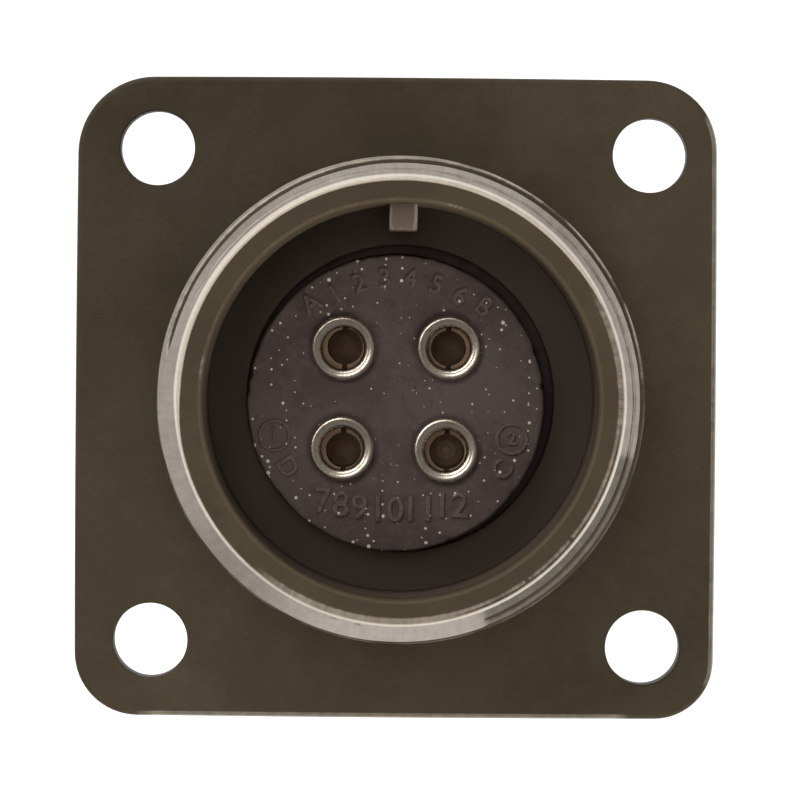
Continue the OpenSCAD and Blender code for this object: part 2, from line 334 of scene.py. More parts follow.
class Finish(Graph):
    """A material under construction, with its coordinates in millimetres."""

    def __init__(self, name):
        self.material = bpy.data.materials.new(name)
        self.material.use_nodes = True
        super().__init__(self.material.node_tree)
        self.shader = self.tree.nodes["Principled BSDF"]
        metres = self.node("ShaderNodeTexCoord").outputs["Object"]
        self.where = self.node("ShaderNodeMapping",
                               {"Vector": metres, "Scale": (1000, 1000, 1000)}
                               ).outputs[0]
        parts = self.node("ShaderNodeSeparateXYZ", {"Vector": self.where})
        self.x, self.y, self.z = (Socket(self, out) for out in parts.outputs)

    def radius(self, x=0.0, y=0.0):
        dx, dy = self.x - x, self.y - y
        return self.math("SQRT", dx * dx + dy * dy)

    def attribute(self, name):
        made = self.node("ShaderNodeAttribute", attribute_name=name)
        return Socket(self, made.outputs["Fac"])

    def bump(self, height, strength, distance, under=None):
        made = self.node("ShaderNodeBump", {"Height": height, "Strength": strength,
                                            "Distance": distance * MM})
        if under is not None:
            self.feed(made.inputs["Normal"], under)
        return made.outputs[0]

    def set(self, **values):
        for name, value in values.items():
            self.feed(self.shader.inputs[name.replace("_", " ")], value)
        return self.material


# ---------------------------------------------------------------- mesh helpers

def arc(centre_r, centre_z, radius, start, end, steps):
    """Points of an arc in the (r, z) half plane; angles in degrees."""
    return [(centre_r + radius * math.cos(a), centre_z + radius * math.sin(a))
            for a in np.radians(np.linspace(start, end, steps + 1))]


def spaced(start, end, step):
    """Points on the straight line from start to end, no further apart than step."""
    start, end = np.array(start, float), np.array(end, float)
    count = max(1, math.ceil(np.linalg.norm(end - start) / step))
    return [tuple(start + (end - start) * i / count) for i in range(count)]


class MeshParts:
    """Points and faces that several helpers add to, before one mesh is made."""

    def __init__(self):
        self.points, self.faces, self.count = [], [], 0

    def add(self, points, faces):
        """Adds an (n, 3) array and its faces, and gives the first point's number."""
        first = self.count
        self.points.append(np.asarray(points, float))
        self.count += len(points)
        self.faces.extend([[first + i for i in face] for face in faces])
        return first

    def rings(self, rings, close=False):
        """Joins rings of equally many points, each closed on itself, by quads."""
        across, n = len(rings), len(rings[0])
        faces = []
        for row in range(across if close else across - 1):
            low, high = row * n, (row + 1) % across * n
            for i in range(n):
                j = (i + 1) % n
                faces.append([low + i, low + j, high + j, high + i])
        return self.add(np.vstack(rings), faces)

    def piece(self, name, merge=1e-7, sharp=35.0, recalc=True):
        mesh = bpy.data.meshes.new(name)
        mesh.from_pydata(np.vstack(self.points).tolist(), [], self.faces)
        form = bmesh.new()
        form.from_mesh(mesh)
        bmesh.ops.remove_doubles(form, verts=form.verts, dist=merge)
        bmesh.ops.dissolve_degenerate(form, edges=form.edges, dist=merge)
        if recalc:
            bmesh.ops.recalc_face_normals(form, faces=form.faces)
        form.to_mesh(mesh)
        form.free()
        return show(name, mesh, sharp)


def show(name, mesh, sharp=35.0):
    """Links a finished mesh as an object, smooth but for its sharp corners."""
    made = bpy.data.objects.new(name, mesh)
    bpy.context.scene.collection.objects.link(made)
    soften(mesh, sharp)
    return made


def soften(mesh, sharp):
    mesh.shade_smooth()
    mesh.set_sharp_from_angle(angle=math.radians(sharp))


def circle(radius, z, columns, x=0.0, y=0.0):
    angles = np.arange(columns) * TURN / columns
    return np.column_stack([x + radius * np.cos(angles), y + radius * np.sin(angles),
                            np.full(columns, z)])


def lathe(profile, columns, x=0.0, y=0.0):
    """Rings of a profile of (radius, height) in millimetres, turned round Z."""
    return [circle(r * MM, z * MM, columns, x, y) for r, z in profile]


def plate(parts, z, outer, holes):
    """A flat face at height z between an outer ring and the rings of its holes."""
    form = bmesh.new()
    for ring in (outer, *holes):
        corners = [form.verts.new((p[0], p[1], z)) for p in ring]
        for i, corner in enumerate(corners):
            form.edges.new((corner, corners[(i + 1) % len(corners)]))
    bmesh.ops.triangle_fill(form, use_beauty=True, edges=form.edges,
                            normal=(0, 0, 1))
    form.verts.index_update()
    parts.add([v.co[:] for v in form.verts],
              [[v.index for v in face.verts] for face in form.faces])
    form.free()


def drilled_face(parts, outer, holes, spacing, height, seed):
    """A face with holes, triangulated finely so that height(x, y) can shape it."""
    chance = np.random.default_rng(seed)
    reach = np.abs(outer[:, :2]).max()
    steps = int(reach / spacing) + 2
    grid = []
    for row in range(-steps, steps + 1):
        for column in range(-steps, steps + 1):
            grid.append(((column + 0.5 * (row % 2)) * spacing, row * spacing * 0.866))
    grid = np.array(grid) + chance.normal(0, spacing * 0.06, (len(grid), 2))
    edge = np.interp(np.arctan2(grid[:, 1], grid[:, 0]),
                     np.arctan2(outer[:, 1], outer[:, 0])[
                         np.argsort(np.arctan2(outer[:, 1], outer[:, 0]))],
                     np.hypot(outer[:, 0], outer[:, 1])[
                         np.argsort(np.arctan2(outer[:, 1], outer[:, 0]))])
    keep = np.hypot(grid[:, 0], grid[:, 1]) < edge - spacing * 0.5
    for ring in holes:
        centre = ring[:, :2].mean(0)
        radius = np.hypot(*(ring[0, :2] - centre))
        keep &= np.hypot(*(grid - centre).T) > radius + spacing * 0.5
    points = [Vector(p) for p in grid[keep]]
    edges = []
    for ring in (outer, *holes):
        first = len(points)
        points += [Vector(p) for p in ring[:, :2]]
        n = len(ring)
        edges += [(first + i, first + (i + 1) % n) for i in range(n)]
    flat, _, faces, *_ = delaunay_2d_cdt(points, edges, [], 0, 1e-9)
    flat = np.array([p[:] for p in flat])
    solid = []
    for face in faces:
        middle = flat[list(face)].mean(0)
        turn = math.atan2(middle[1], middle[0])
        limit = np.hypot(outer[:, 0], outer[:, 1]).max()
        if np.hypot(*middle) > limit:
            continue
        if any(np.hypot(*(middle - ring[:, :2].mean(0)))
               < np.hypot(*(ring[0, :2] - ring[:, :2].mean(0))) * 0.999
               for ring in holes):
            continue
        solid.append(list(face))
    parts.add(np.column_stack([flat, height(flat[:, 0], flat[:, 1])]), solid)


def finish_piece(piece, slot, material, *nodes):
    """Gives a piece its material and body, and hides the CAD nodes it stands for. The slot is
    not used.
    """
    piece.data.materials.clear()
    piece.data.materials.append(material)
    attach(piece, BODY)
    if nodes:
        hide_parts(*nodes)
    return piece


def settled(carrier):
    """Applies a piece's Geometry Nodes, and keeps the result as a plain mesh."""
    graph = bpy.context.evaluated_depsgraph_get()
    made = bpy.data.meshes.new_from_object(carrier.evaluated_get(graph))
    carrier.modifiers.clear()
    carrier.data = made
    return carrier


def node_rule(name, numbers):
    """A Geometry Nodes tree with named number inputs; gives its graph and nodes."""
    tree = bpy.data.node_groups.new(name, "GeometryNodeTree")
    tree.interface.new_socket("Geometry", in_out="INPUT",
                              socket_type="NodeSocketGeometry")
    for label, value in numbers.items():
        kind = "NodeSocketInt" if isinstance(value, int) else "NodeSocketFloat"
        made = tree.interface.new_socket(label, in_out="INPUT", socket_type=kind)
        made.default_value = value
    made = tree.interface.new_socket("Material", in_out="INPUT",
                                     socket_type="NodeSocketMaterial")
    tree.interface.new_socket("Geometry", in_out="OUTPUT",
                              socket_type="NodeSocketGeometry")
    graph = Graph(tree)
    given = graph.node("NodeGroupInput").outputs
    return graph, given


def end_rule(graph, geometry, material):
    """Ends a tree in Realize Instances and Set Material."""
    real = graph.node("GeometryNodeRealizeInstances", {"Geometry": geometry})
    dressed = graph.node("GeometryNodeSetMaterial",
                         {"Geometry": real.outputs[0], "Material": material})
    graph.feed(graph.node("NodeGroupOutput").inputs[0], dressed.outputs[0])


def use_rule(piece, graph, **values):
    """Puts a tree on a piece, with its inputs set before it is evaluated."""
    modifier = piece.modifiers.new(graph.tree.name, "NODES")
    modifier.node_group = graph.tree
    for item in graph.tree.interface.items_tree:
        if item.in_out == "INPUT" and item.name in values:
            modifier[item.identifier] = values[item.name]
    return settled(piece)


# ---------------------------------------------------------------- materials

def olive_finish(colours):
    """Olive chromate over aluminium, rubbed through on the edges and crests, with painted
    shade inside the bore and in the thread grooves, and painted light on the bore's wall and
    mouth.
    """
    m = Finish("olive_chromate")
    cloud = m.noise(m.where, 0.22, 5.0, 0.6)
    grain = m.noise(m.where, 9.0, 3.0, 0.6)
    patch = m.noise(m.where, 1.3, 4.0, 0.65, twist=0.4)
    tone = m.blend(m.ramp(cloud + (patch - 0.5) * 0.5, 0.35, 0.68),
                   colours.olive, colours.olive_pale)
    tone = m.blend(m.ramp(grain, 0.3, 0.7, 0.0, 0.3), tone, colours.grime_and_groove_shade)
    # painted shade: the thread grooves are darkened towards the grime colour
    grime_and_groove_shade = m.ramp(m.attribute("groove"), 0.15, 0.6, 0.0, 0.85)
    tone = m.blend(grime_and_groove_shade, tone, colours.grime_and_groove_shade)
    # painted shade: inside the bore, from the rear pocket up towards the mouth, the colour
    # darkens to the bore colour
    inside = m.ramp(m.radius(), 8.96, 9.12, 1.0, 0.0) * m.ramp(m.z, 15.9, 16.7, 1.0, 0.0)
    tone = m.blend(inside * m.ramp(m.z, -9.2, -8.6), tone, colours.bore)
    # painted light: the bore's wall just above the lip is made paler again, against its shade
    wall = inside * m.ramp(m.z, 6.1, 6.6) * 0.75
    tone = m.blend(wall, tone, [c * 1.6 for c in colours.bore])
    # painted highlight: the rounded mouth of the bore is made paler
    mouth = m.ramp(m.radius(), 9.04, 9.22, 0.7, 0.0) * m.ramp(m.z, 16.75, 16.9)
    tone = m.blend(mouth, tone, [c * 1.6 for c in colours.olive_pale])
    # where the finish is rubbed through, in streaks that run across the rim
    out = m.node("ShaderNodeCombineXYZ", {"X": m.x / m.radius() * 10.0,
                                          "Y": m.y / m.radius() * 10.0,
                                          "Z": m.radius() * 0.35}).outputs[0]
    streak = m.noise(out, 3.2, 4.0, 0.65)
    # the rub and polish attributes hold wear, and on the threaded ring also painted highlight
    # towards the upper left and painted shade towards the lower right
    rub = m.attribute("rub")
    wander = streak * 0.55 + grain * 0.15 + patch * 0.3
    bare = m.ramp(rub + (wander - 0.5) * 0.6, 0.24, 0.70)
    polish_and_painted_light = m.attribute("polish_and_painted_light") + (streak - 0.5) * 0.22 + (patch - 0.5) * 0.12
    shine = m.ramp(polish_and_painted_light, 0.0, 1.0, smooth=False)
    metal = m.blend(shine, colours.dull, colours.bare)
    rough = m.ramp(grain, 0.3, 0.7, 0.46, 0.60)
    bump = m.bump(grain, 0.35, 0.02)
    bump = m.bump(patch, 0.25, 0.05, bump)
    return m.set(Base_Color=m.blend(bare, tone, metal),
                 Metallic=bare * m.ramp(shine, 0.1, 0.45, 0.9, 0.45),
                 Roughness=m.ramp(bare, 0.0, 1.0, rough, 0.4, smooth=False),
                 Specular_IOR_Level=0.25, Normal=bump)


def rubber_finish(name, colours, dusty=True):
    """Dark moulded rubber with rubbed patches, fine scratches and dust, and painted highlight
    along the sides of the raised marks.
    """
    m = Finish(name)
    cloud = m.noise(m.where, 0.28, 4.0, 0.6)
    patch = m.noise(m.where, 1.8, 6.0, 0.72, twist=0.8)
    fleck = m.noise(m.where, 5.0, 5.0, 0.75)
    grain = m.noise(m.where, 16.0, 3.0, 0.6)
    tone = m.blend(m.ramp(cloud + (patch - 0.5) * 0.7, 0.34, 0.60),
                   colours.rubber, colours.rubber_pale)
    outer = m.ramp(m.radius(), 2.5, 6.0, 0.3, 1.0)
    pale = [c * 1.75 for c in colours.rubber_pale]
    tone = m.blend(m.ramp(fleck, 0.54, 0.72, 0.0, 0.55) * outer, tone, pale)
    tone = m.blend(m.ramp(patch, 0.28, 0.42, 0.35, 0.0), tone,
                   [c * 0.6 for c in colours.rubber])
    raised = m.attribute("raised")
    # painted highlight: the sides of the raised marks are painted paler, outlining them
    edge = raised * (1.0 - raised) * 4.0
    tone = m.blend(edge * m.ramp(patch, 0.3, 0.6, 0.35, 0.9), tone,
                   [c * 2.2 for c in colours.rubber_pale])
    tone = m.blend(raised * m.ramp(fleck, 0.4, 0.65, 0.1, 0.7), tone, pale)
    bump = m.bump(grain, 0.35, 0.02)
    bump = m.bump(fleck, 0.45, 0.06, bump)
    if dusty:
        zone = m.ramp(m.radius(), 3.2, 6.0, 0.35, 1.0)
        for scale, chosen_from, widest in ((1.5, 0.72, 0.11), (2.7, 0.82, 0.13)):
            cells = m.node("ShaderNodeTexVoronoi",
                           {"Vector": m.where, "Scale": scale, "Randomness": 1.0},
                           voronoi_dimensions="2D")
            chosen = m.node("ShaderNodeSeparateColor",
                            {"Color": cells.outputs["Color"]})
            size = m.ramp(Socket(m, chosen.outputs[0]), chosen_from, 1.0, 0.0, widest,
                          smooth=False) * zone
            away = Socket(m, cells.outputs["Distance"]) + (fleck - 0.5) * 0.08
            speck = m.ramp(away - size, 0.0, 0.05, 1.0, 0.0) * m.ramp(size, 0.004, 0.03)
            tone = m.blend(speck * m.ramp(m.z, 9.2, 9.5), tone, colours.dust)
    return m.set(Base_Color=tone, Roughness=m.ramp(patch, 0.3, 0.7, 0.5, 0.68),
                 Specular_IOR_Level=0.4, Normal=bump)


def silver_finish(colours):
    """Bright plating with turning lines and stains, darker low on the hood, below the lip's
    crest.
    """
    m = Finish("hood_plating")
    patch = m.noise(m.where, 2.5, 4.0, 0.6)
    fine = m.noise(m.where, 16.0, 4.0, 0.65)
    stain = m.ramp(patch + (fine - 0.5) * 0.5, 0.46, 0.74, 0.05, 0.6)
    tone = m.blend(stain, colours.silver, colours.tarnish)
    # darker low on the hood, below the lip's crest, towards the entry and the insert's face
    deep = m.ramp(m.z, 9.8, 10.02, 0.85, 0.0)
    tone = m.blend(deep, tone, [c * 0.5 for c in colours.tarnish])
    return m.set(Base_Color=tone, Metallic=1.0,
                 Roughness=m.ramp(patch, 0.3, 0.7, 0.22, 0.32),
                 Normal=m.bump(fine, 0.3, 0.015))


def brass_finish(colours):
    """Tarnished brass, with turning rings at the bottom of each pin bore."""
    m = Finish("contact_brass")
    patch = m.noise(m.where, 2.0, 4.0, 0.6)
    fine = m.noise(m.where, 18.0, 3.0, 0.6, squash=(1.0, 1.0, 0.25))
    tone = m.blend(m.ramp(patch, 0.35, 0.7, 0.0, 0.7), colours.brass,
                   [c * 0.6 for c in colours.brass])
    for index, letter in enumerate(CONTACTS):
        x, y = contact_centre(letter) / MM
        away = m.radius(x, y)
        bottom = m.ramp(away, 0.70, 0.80, 1.0, 0.0) * m.ramp(m.z, 3.5, 3.8, 1.0, 0.0)
        bottom = bottom * m.ramp(m.z, 3.0, 3.2)
        rings = m.math("SINE", away * 21.0) * 0.5 + 0.5
        bright = (0.25, 0.15, 1.0, 0.35)[index]
        tone = m.blend(bottom * m.ramp(away, 0.0, 0.7, 1.0, 0.3)
                       * (rings * 0.5 + 0.5) * bright, tone,
                       [c * 2.0 for c in colours.brass])
    return m.set(Base_Color=tone, Metallic=0.5,
                 Roughness=m.ramp(fine, 0.3, 0.7, 0.38, 0.52),
                 Normal=m.bump(fine, 0.15, 0.01))


def steel_finish(colours):
    m = Finish("retainer_steel")
    turned = m.node("ShaderNodeCombineXYZ", {"X": m.radius(), "Y": 0.0, "Z": m.z})
    lines = m.noise(turned.outputs[0], 11.0, 4.0, 0.7)
    patch = m.noise(m.where, 1.2, 4.0, 0.6)
    tone = m.blend(m.ramp(patch, 0.4, 0.7, 0.0, 0.5), colours.steel,
                   [c * 0.6 for c in colours.steel])
    return m.set(Base_Color=tone, Metallic=1.0,
                 Roughness=m.ramp(lines, 0.3, 0.7, 0.3, 0.48),
                 Normal=m.bump(lines, 0.2, 0.02))


_made = {}


def finish(name):
    """Each finish is made once, and shared by the pieces that have it."""
    if name not in _made:
        scene = bpy.context.scene
        colours = scene.receptacle_finish
        _made[name] = {
            "shell": lambda: olive_finish(colours),
            "front": lambda: rubber_finish("front_rubber", colours),
            "rear": lambda: rubber_finish("rear_rubber", colours, False),
            "hood": lambda: silver_finish(colours),
            "contact": lambda: brass_finish(colours),
            "retainer": lambda: steel_finish(colours),
        }[name]()
    return _made[name]


def sector(turn, start, end, soft=6.0):
    """1 where an angle lies from start round to end, easing to 0 at both sides."""
    span = (end - start) % 360
    off = (turn - start) % 360
    off = np.where(off > (span + 360) / 2, off - 360, off)
    return np.clip(off / soft + 0.5, 0, 1) * np.clip((span - off) / soft + 0.5, 0, 1)


def band(value, low, high, soft):
    """1 where a value lies from low to high, easing to 0 at both sides."""
    return (np.clip((value - low) / soft + 0.5, 0, 1)
            * np.clip((high - value) / soft + 0.5, 0, 1))


# ---------------------------------------------------------------- the flange

def flange_outline(s, inset):
    """Points round the plate's edge, bowed, skewed and shifted as the plate is."""
    half = s.side / 2
    signs = ((1, 1), (-1, 1), (-1, -1), (1, -1))
    loop = []
    for index, (sx, sy) in enumerate(signs):
        radius = s.corners[index]
        centre = np.array([sx * (half - radius), sy * (half - radius)])
        first = 90 * index
        for a in np.radians(np.linspace(first, first + 90, 17)):
            loop.append(centre + (radius - inset) * np.array([np.cos(a), np.sin(a)]))
        after = (index + 1) % 4
        nx, ny = signs[after]
        centre = np.array([nx * (half - s.corners[after]),
                           ny * (half - s.corners[after])])
        a = math.radians(first + 90)
        end = centre + (s.corners[after] - inset) * np.array([math.cos(a), math.sin(a)])
        start = loop[-1]
        for t in np.linspace(0, 1, 41)[1:-1]:
            point = start + (end - start) * t
            outward = np.array([math.cos(a), math.sin(a)])
            loop.append(point + outward * s.bow * 4 * t * (1 - t))
    loop = np.array(loop)
    turn = s.skew
    spin = np.array([[math.cos(turn), -math.sin(turn)],
                     [math.sin(turn), math.cos(turn)]])
    return loop @ spin.T + np.array([s.shift, 0.0])


def edge_bare_metal(xy, s):
    """How much bare metal shows on the plate's edge: most along +X and -Y, least elsewhere.
    """
    half = s.side / 2
    x, y = (xy[:, 0] - s.shift) / half, xy[:, 1] / half
    right = np.clip((x - 0.93) / 0.05, 0, 1) * np.clip((0.93 - np.abs(y - 0.02)) / 0.1, 0, 1)
    low = np.clip((-y - 0.93) / 0.05, 0, 1) * np.clip((0.80 - np.abs(x + 0.02)) / 0.1, 0, 1)
    return 0.12 + 0.75 * np.maximum(right, low * 0.8)


class RECEPTACLE_OT_flange(bpy.types.Operator):
    """Make the square plate with its four holes, and the rear barrel with the bore"""
    bl_idname = "receptacle.flange"
    bl_label = "Shell body"

    def execute(self, context):
        s, b = context.scene.receptacle_flange, context.scene.receptacle_barrel
        parts = MeshParts()
        thick = s.thick
        margin = s.bevel + 0.05 * MM
        rings = [np.column_stack([flange_outline(s, inset), np.zeros(4 * 56)])
                 for inset in (margin, s.bevel)]
        for a in np.radians(np.linspace(0, 90, 6))[1:]:
            rings.append(np.column_stack([
                flange_outline(s, s.bevel * (1 - math.sin(a))),
                np.full(4 * 56, s.bevel * (1 - math.cos(a)))]))
        for a in np.radians(np.linspace(0, 90, 6)):
            rings.append(np.column_stack([
                flange_outline(s, s.bevel * (1 - math.cos(a))),
                np.full(4 * 56, thick - s.bevel * (1 - math.sin(a)))]))
        rings.append(np.column_stack([flange_outline(s, margin),
                                      np.full(4 * 56, thick)]))
        parts.rings(rings)
        columns = b.columns
        holes = {"front": [], "rear": []}
        for sx in (1, -1):
            for sy in (1, -1):
                x, y = sx * s.hole_reach, sy * s.hole_reach
                mouth = s.hole_radius + s.hole_bevel
                tube = [circle(mouth, thick, 96, x, y)]
                tube += [circle(mouth - s.hole_bevel * math.sin(a),
                                thick - s.hole_bevel * (1 - math.cos(a)), 96, x, y)
                         for a in np.radians((30, 60, 90))]
                tube += [circle(s.hole_radius, s.hole_bevel, 96, x, y),
                         circle(mouth, 0.0, 96, x, y)]
                parts.rings(tube)
                holes["front"].append(tube[0])
                holes["rear"].append(tube[-1])
        plate(parts, thick, rings[-1], [circle(b.seam_radius, thick, columns),
                                        *holes["front"]])
        plate(parts, 0.0, rings[0], [circle(b.rear_radius, 0.0, columns),
                                     *holes["rear"]])
        mm = lambda value: value / MM
        rear, pocket, groove = mm(b.rear_radius), mm(b.pocket_radius), mm(b.groove_radius)
        tail, lip, bore = mm(SHELL_LOW.z), mm(b.lip_radius), mm(b.bore_radius)
        top, mouth, seam = mm(SHELL_HIGH.z), mm(b.mouth), mm(b.seam_radius)
        lip_top, lip_rear = mm(b.lip_top), mm(b.lip_rear)
        low, high = mm(b.groove_low), mm(b.groove_high)
        profile = spaced((rear, 0.0), (rear, tail + 0.25), 1.1)
        profile += arc(rear - 0.25, tail + 0.25, 0.25, 0, -90, 4)
        profile += spaced((rear - 0.25, tail), (pocket + 0.2, tail), 0.4)[1:]
        profile += arc(pocket + 0.2, tail + 0.2, 0.2, -90, -180, 4)
        profile += [(pocket, low - 0.4), (pocket, low), (groove, low), (groove, high),
                    (pocket, high)]
        profile += spaced((pocket, high + 0.3), (pocket, lip_rear), 1.2)
        profile += [(pocket, lip_rear), (lip, lip_rear)]
        profile += [(lip, lip_top - 0.15)]
        profile += arc(lip + 0.1, lip_top - 0.1, 0.1, 180, 90, 4)
        profile += spaced((lip + 0.3, lip_top), (bore, lip_top), 0.4)
        profile += spaced((bore, lip_top), (bore, top - 2 * mouth - 0.3), 0.9)
        profile += spaced((bore, top - 2 * mouth - 0.3), (bore, top - 2 * mouth), 0.1)
        profile += [(r, top - 2 * (top - z)) for r, z in
                    arc(bore + mouth, top - mouth, mouth, 180, 90, 10)]
        profile += spaced((bore + mouth, top), (seam, top), 0.1)[1:]
        profile += [(seam, top), (seam, mm(thick))]
        parts.rings(lathe(profile, columns))
        piece = parts.piece("shell_body", merge=2e-6)
        co = np.array([v.co[:] for v in piece.data.vertices])
        radial = np.hypot(co[:, 0], co[:, 1])
        rub = np.full(len(co), 0.06)
        bevelled = np.vstack(rings[1:-1])
        near = KDTree(len(bevelled))
        for index, point in enumerate(bevelled):
            near.insert(point, index)
        near.balance()
        outer = np.array([near.find(point)[2] < 3e-6 for point in co])
        rub[outer] = edge_bare_metal(co[outer], s)
        turn = np.degrees(np.arctan2(co[:, 1], co[:, 0])) % 360
        # painted highlight: the bare line round the bore's mouth is stronger over the upper
        # left
        upper_left_mouth_highlight = sector(turn, 48, 205, 30)
        mouth_line = (band(radial / MM, bore + 0.13, bore + mouth + 0.03, 0.05)
                      * (co[:, 2] > SHELL_HIGH.z - 0.3 * MM))
        bright = sector(turn, 72, 78, 3) + sector(turn, 168, 174, 3)
        rub += mouth_line * (0.08 + 0.16 * upper_left_mouth_highlight + 0.18 * bright)
        put_attribute(piece.data, "rub", rub)
        put_attribute(piece.data, "groove", np.zeros(len(co)))
        put_attribute(piece.data, "polish_and_painted_light",
                      np.where(outer, 0.25, 0.12) + mouth_line * bright * 0.1)
        finish_piece(piece, "shell_finish", finish("shell"), "shell")
        return {"FINISHED"}


def put_attribute(mesh, name, values):
    layer = mesh.attributes.get(name) or mesh.attributes.new(name, "FLOAT", "POINT")
    layer.data.foreach_set("value", np.asarray(values, np.float32))


# ---------------------------------------------------------------- the thread

def thread_rule():
    """Cuts a right-hand thread into the outer wall of a plain ring."""
    graph, given = node_rule("cut_thread", {
        "Major radius": 0.0111, "Root radius": 0.01035, "Pitch": 0.00127,
        "Crest": 0.00016, "Start": 0.016, "Wall from": 0.0099,
        "Foot": 0.0042, "Worn from": 2.8, "Worn to": 5.1, "Worn depth": 0.0145})
    value = {label: Socket(graph, given[label]) for label in (
        "Major radius", "Root radius", "Pitch", "Crest", "Start", "Wall from",
        "Foot", "Worn from", "Worn to", "Worn depth")}
    position = graph.node("GeometryNodeInputPosition").outputs[0]
    xyz = graph.node("ShaderNodeSeparateXYZ", {"Vector": position})
    x, y, z = (Socket(graph, out) for out in xyz.outputs)
    radius = graph.math("SQRT", x * x + y * y)
    turn = graph.math("ARCTAN2", y, x)
    turn = turn + graph.math("LESS_THAN", turn, 0.0) * TURN
    rise = (z - value["Start"]) / value["Pitch"] - turn / TURN
    off = graph.math("ABSOLUTE", graph.math("FRACT", rise + 0.5) - 0.5)
    off = off * value["Pitch"]
    half_crest = value["Crest"] * 0.5
    cut = graph.ramp(off, half_crest, value["Pitch"] * 0.5 - half_crest, 0.0, 1.0,
                     smooth=False)
    worn = graph.ramp(turn, value["Worn from"] - 0.12, value["Worn from"] + 0.06)
    worn = worn * graph.ramp(turn, value["Worn to"] - 0.012, value["Worn to"] + 0.012,
                             1.0, 0.0)
    worn = worn * graph.ramp(z, value["Worn depth"], value["Worn depth"] + 0.0006)
    cut = cut * (1.0 - worn * 0.82)
    depth = value["Major radius"] - value["Root radius"]
    wanted = value["Major radius"] - depth * cut
    changed = graph.math("MINIMUM", radius, wanted)
    stay = graph.ramp(z, value["Foot"] + 0.0003, value["Foot"] + 0.0012, 1.0, 0.0)
    changed = changed * (1.0 - stay) + radius * stay
    outside = graph.math("GREATER_THAN", radius, value["Wall from"])
    stored = graph.node("GeometryNodeStoreNamedAttribute",
                        {"Geometry": given["Geometry"], "Name": "groove",
                         "Value": (radius - changed) * outside / depth},
                        data_type="FLOAT", domain="POINT")
    scale = changed / radius
    moved = graph.node("ShaderNodeCombineXYZ", {"X": x * scale, "Y": y * scale, "Z": z})
    shaped = graph.node("GeometryNodeSetPosition",
                        {"Geometry": stored.outputs[0], "Selection": outside,
                         "Position": moved.outputs[0]})
    end_rule(graph, shaped.outputs[0], given["Material"])
    return graph


def rim_wear(turn, radial, z, groove, rim, top, shoulder):
    """How rubbed, and how bright, each point of the threaded ring is, with painted highlight
    towards the upper left and painted shade towards the lower right.
    """
    # the upper-left sector gets painted highlight, and the lower-right sector painted shade
    upper_left_highlight, lower_right_shade = sector(turn, 32, 185, 14), sector(turn, 292, 347, 3)
    face = z > top - 0.02
    outer_face = sector(turn, 228, 32, 16)
    rub = np.full(len(turn), 0.04)
    polish_and_painted_light = np.zeros(len(turn))
    # the front face, paler towards its outer corner
    pale = band(radial, 9.77, 10.6, 0.12) * outer_face * face
    rub = np.maximum(rub, pale * (0.46 + 0.12 * sector(turn, 245, 290, 12)))
    polish_and_painted_light = np.maximum(polish_and_painted_light, pale * 0.30)
    line = band(radial, 9.975, 10.02, 0.02) * sector(turn, 288, 352, 8) * face
    rub = rub * (1 - 0.8 * line)
    # the tapered turns
    taper = (radial > rim + 0.03) & (z > shoulder - 0.25)
    # painted shade: less bare metal shows on the lower-right turns
    worn = 0.80 - 0.44 * lower_right_shade
    rub = np.where(taper, worn, rub)
    # brightness of the tapered turns: higher from 246 to 292 degrees, with painted highlight
    # towards the upper left and painted shade towards the lower right
    glow = (0.08 + 0.04 * sector(turn, 55, 165, 14) + 0.10 * sector(turn, 246, 292, 16)
            - 0.12 * lower_right_shade)
    polish_and_painted_light = np.where(taper, glow, polish_and_painted_light)
    # the corner of the front face, rubbed bright all round; its wider, brighter band at the
    # upper left is painted highlight, and its dimmer lower side painted shade
    inner = 10.05 - 0.11 * upper_left_highlight
    corner = band(radial, inner, 10.20 + 0.05 * upper_left_highlight, 0.06) * (z > top - 0.5)
    rub = np.maximum(rub, corner * 0.95)
    polish_and_painted_light = np.maximum(polish_and_painted_light, corner * (0.62 - 0.12 * sector(turn, 225, 330, 20)))
    # edges of the turns catch the rubbing, painted dimmer on the lower right as shade, and
    # their grooves keep the olive finish
    edge = band(groove, 0.02, 0.16, 0.04) * taper
    polish_and_painted_light = polish_and_painted_light + edge * (0.30 - 0.22 * lower_right_shade)
    rub = np.where(taper, rub - 0.75 * np.clip((groove - 0.05) * 6, 0, 1), rub)
    rub = np.where((z <= shoulder - 0.25) & (groove < 0.08) & (z > 5), 0.4, rub)
    return np.clip(rub, 0, 1), np.clip(polish_and_painted_light, 0, 1)


# angle in degrees, radius and height in millimetres, reach, depth
RIM_NICKS = (
    (213.0, 9.95, 17.1, 0.32, 0.10), (210.5, 10.05, 17.08, 0.20, 0.09),
    (216.0, 10.02, 17.08, 0.24, 0.08), (226.0, 10.16, 17.0, 0.16, 0.10),
    (230.5, 10.18, 16.9, 0.14, 0.08), (254.0, 10.28, 16.6, 0.18, 0.10),
    (260.0, 10.27, 16.6, 0.16, 0.10), (306.0, 9.88, 17.1, 0.12, 0.07),
    (321.5, 9.90, 17.1, 0.12, 0.07), (118.0, 10.16, 16.95, 0.14, 0.06),
    (74.0, 10.30, 16.5, 0.2, 0.06), (20.0, 10.2, 16.8, 0.16, 0.05),
)


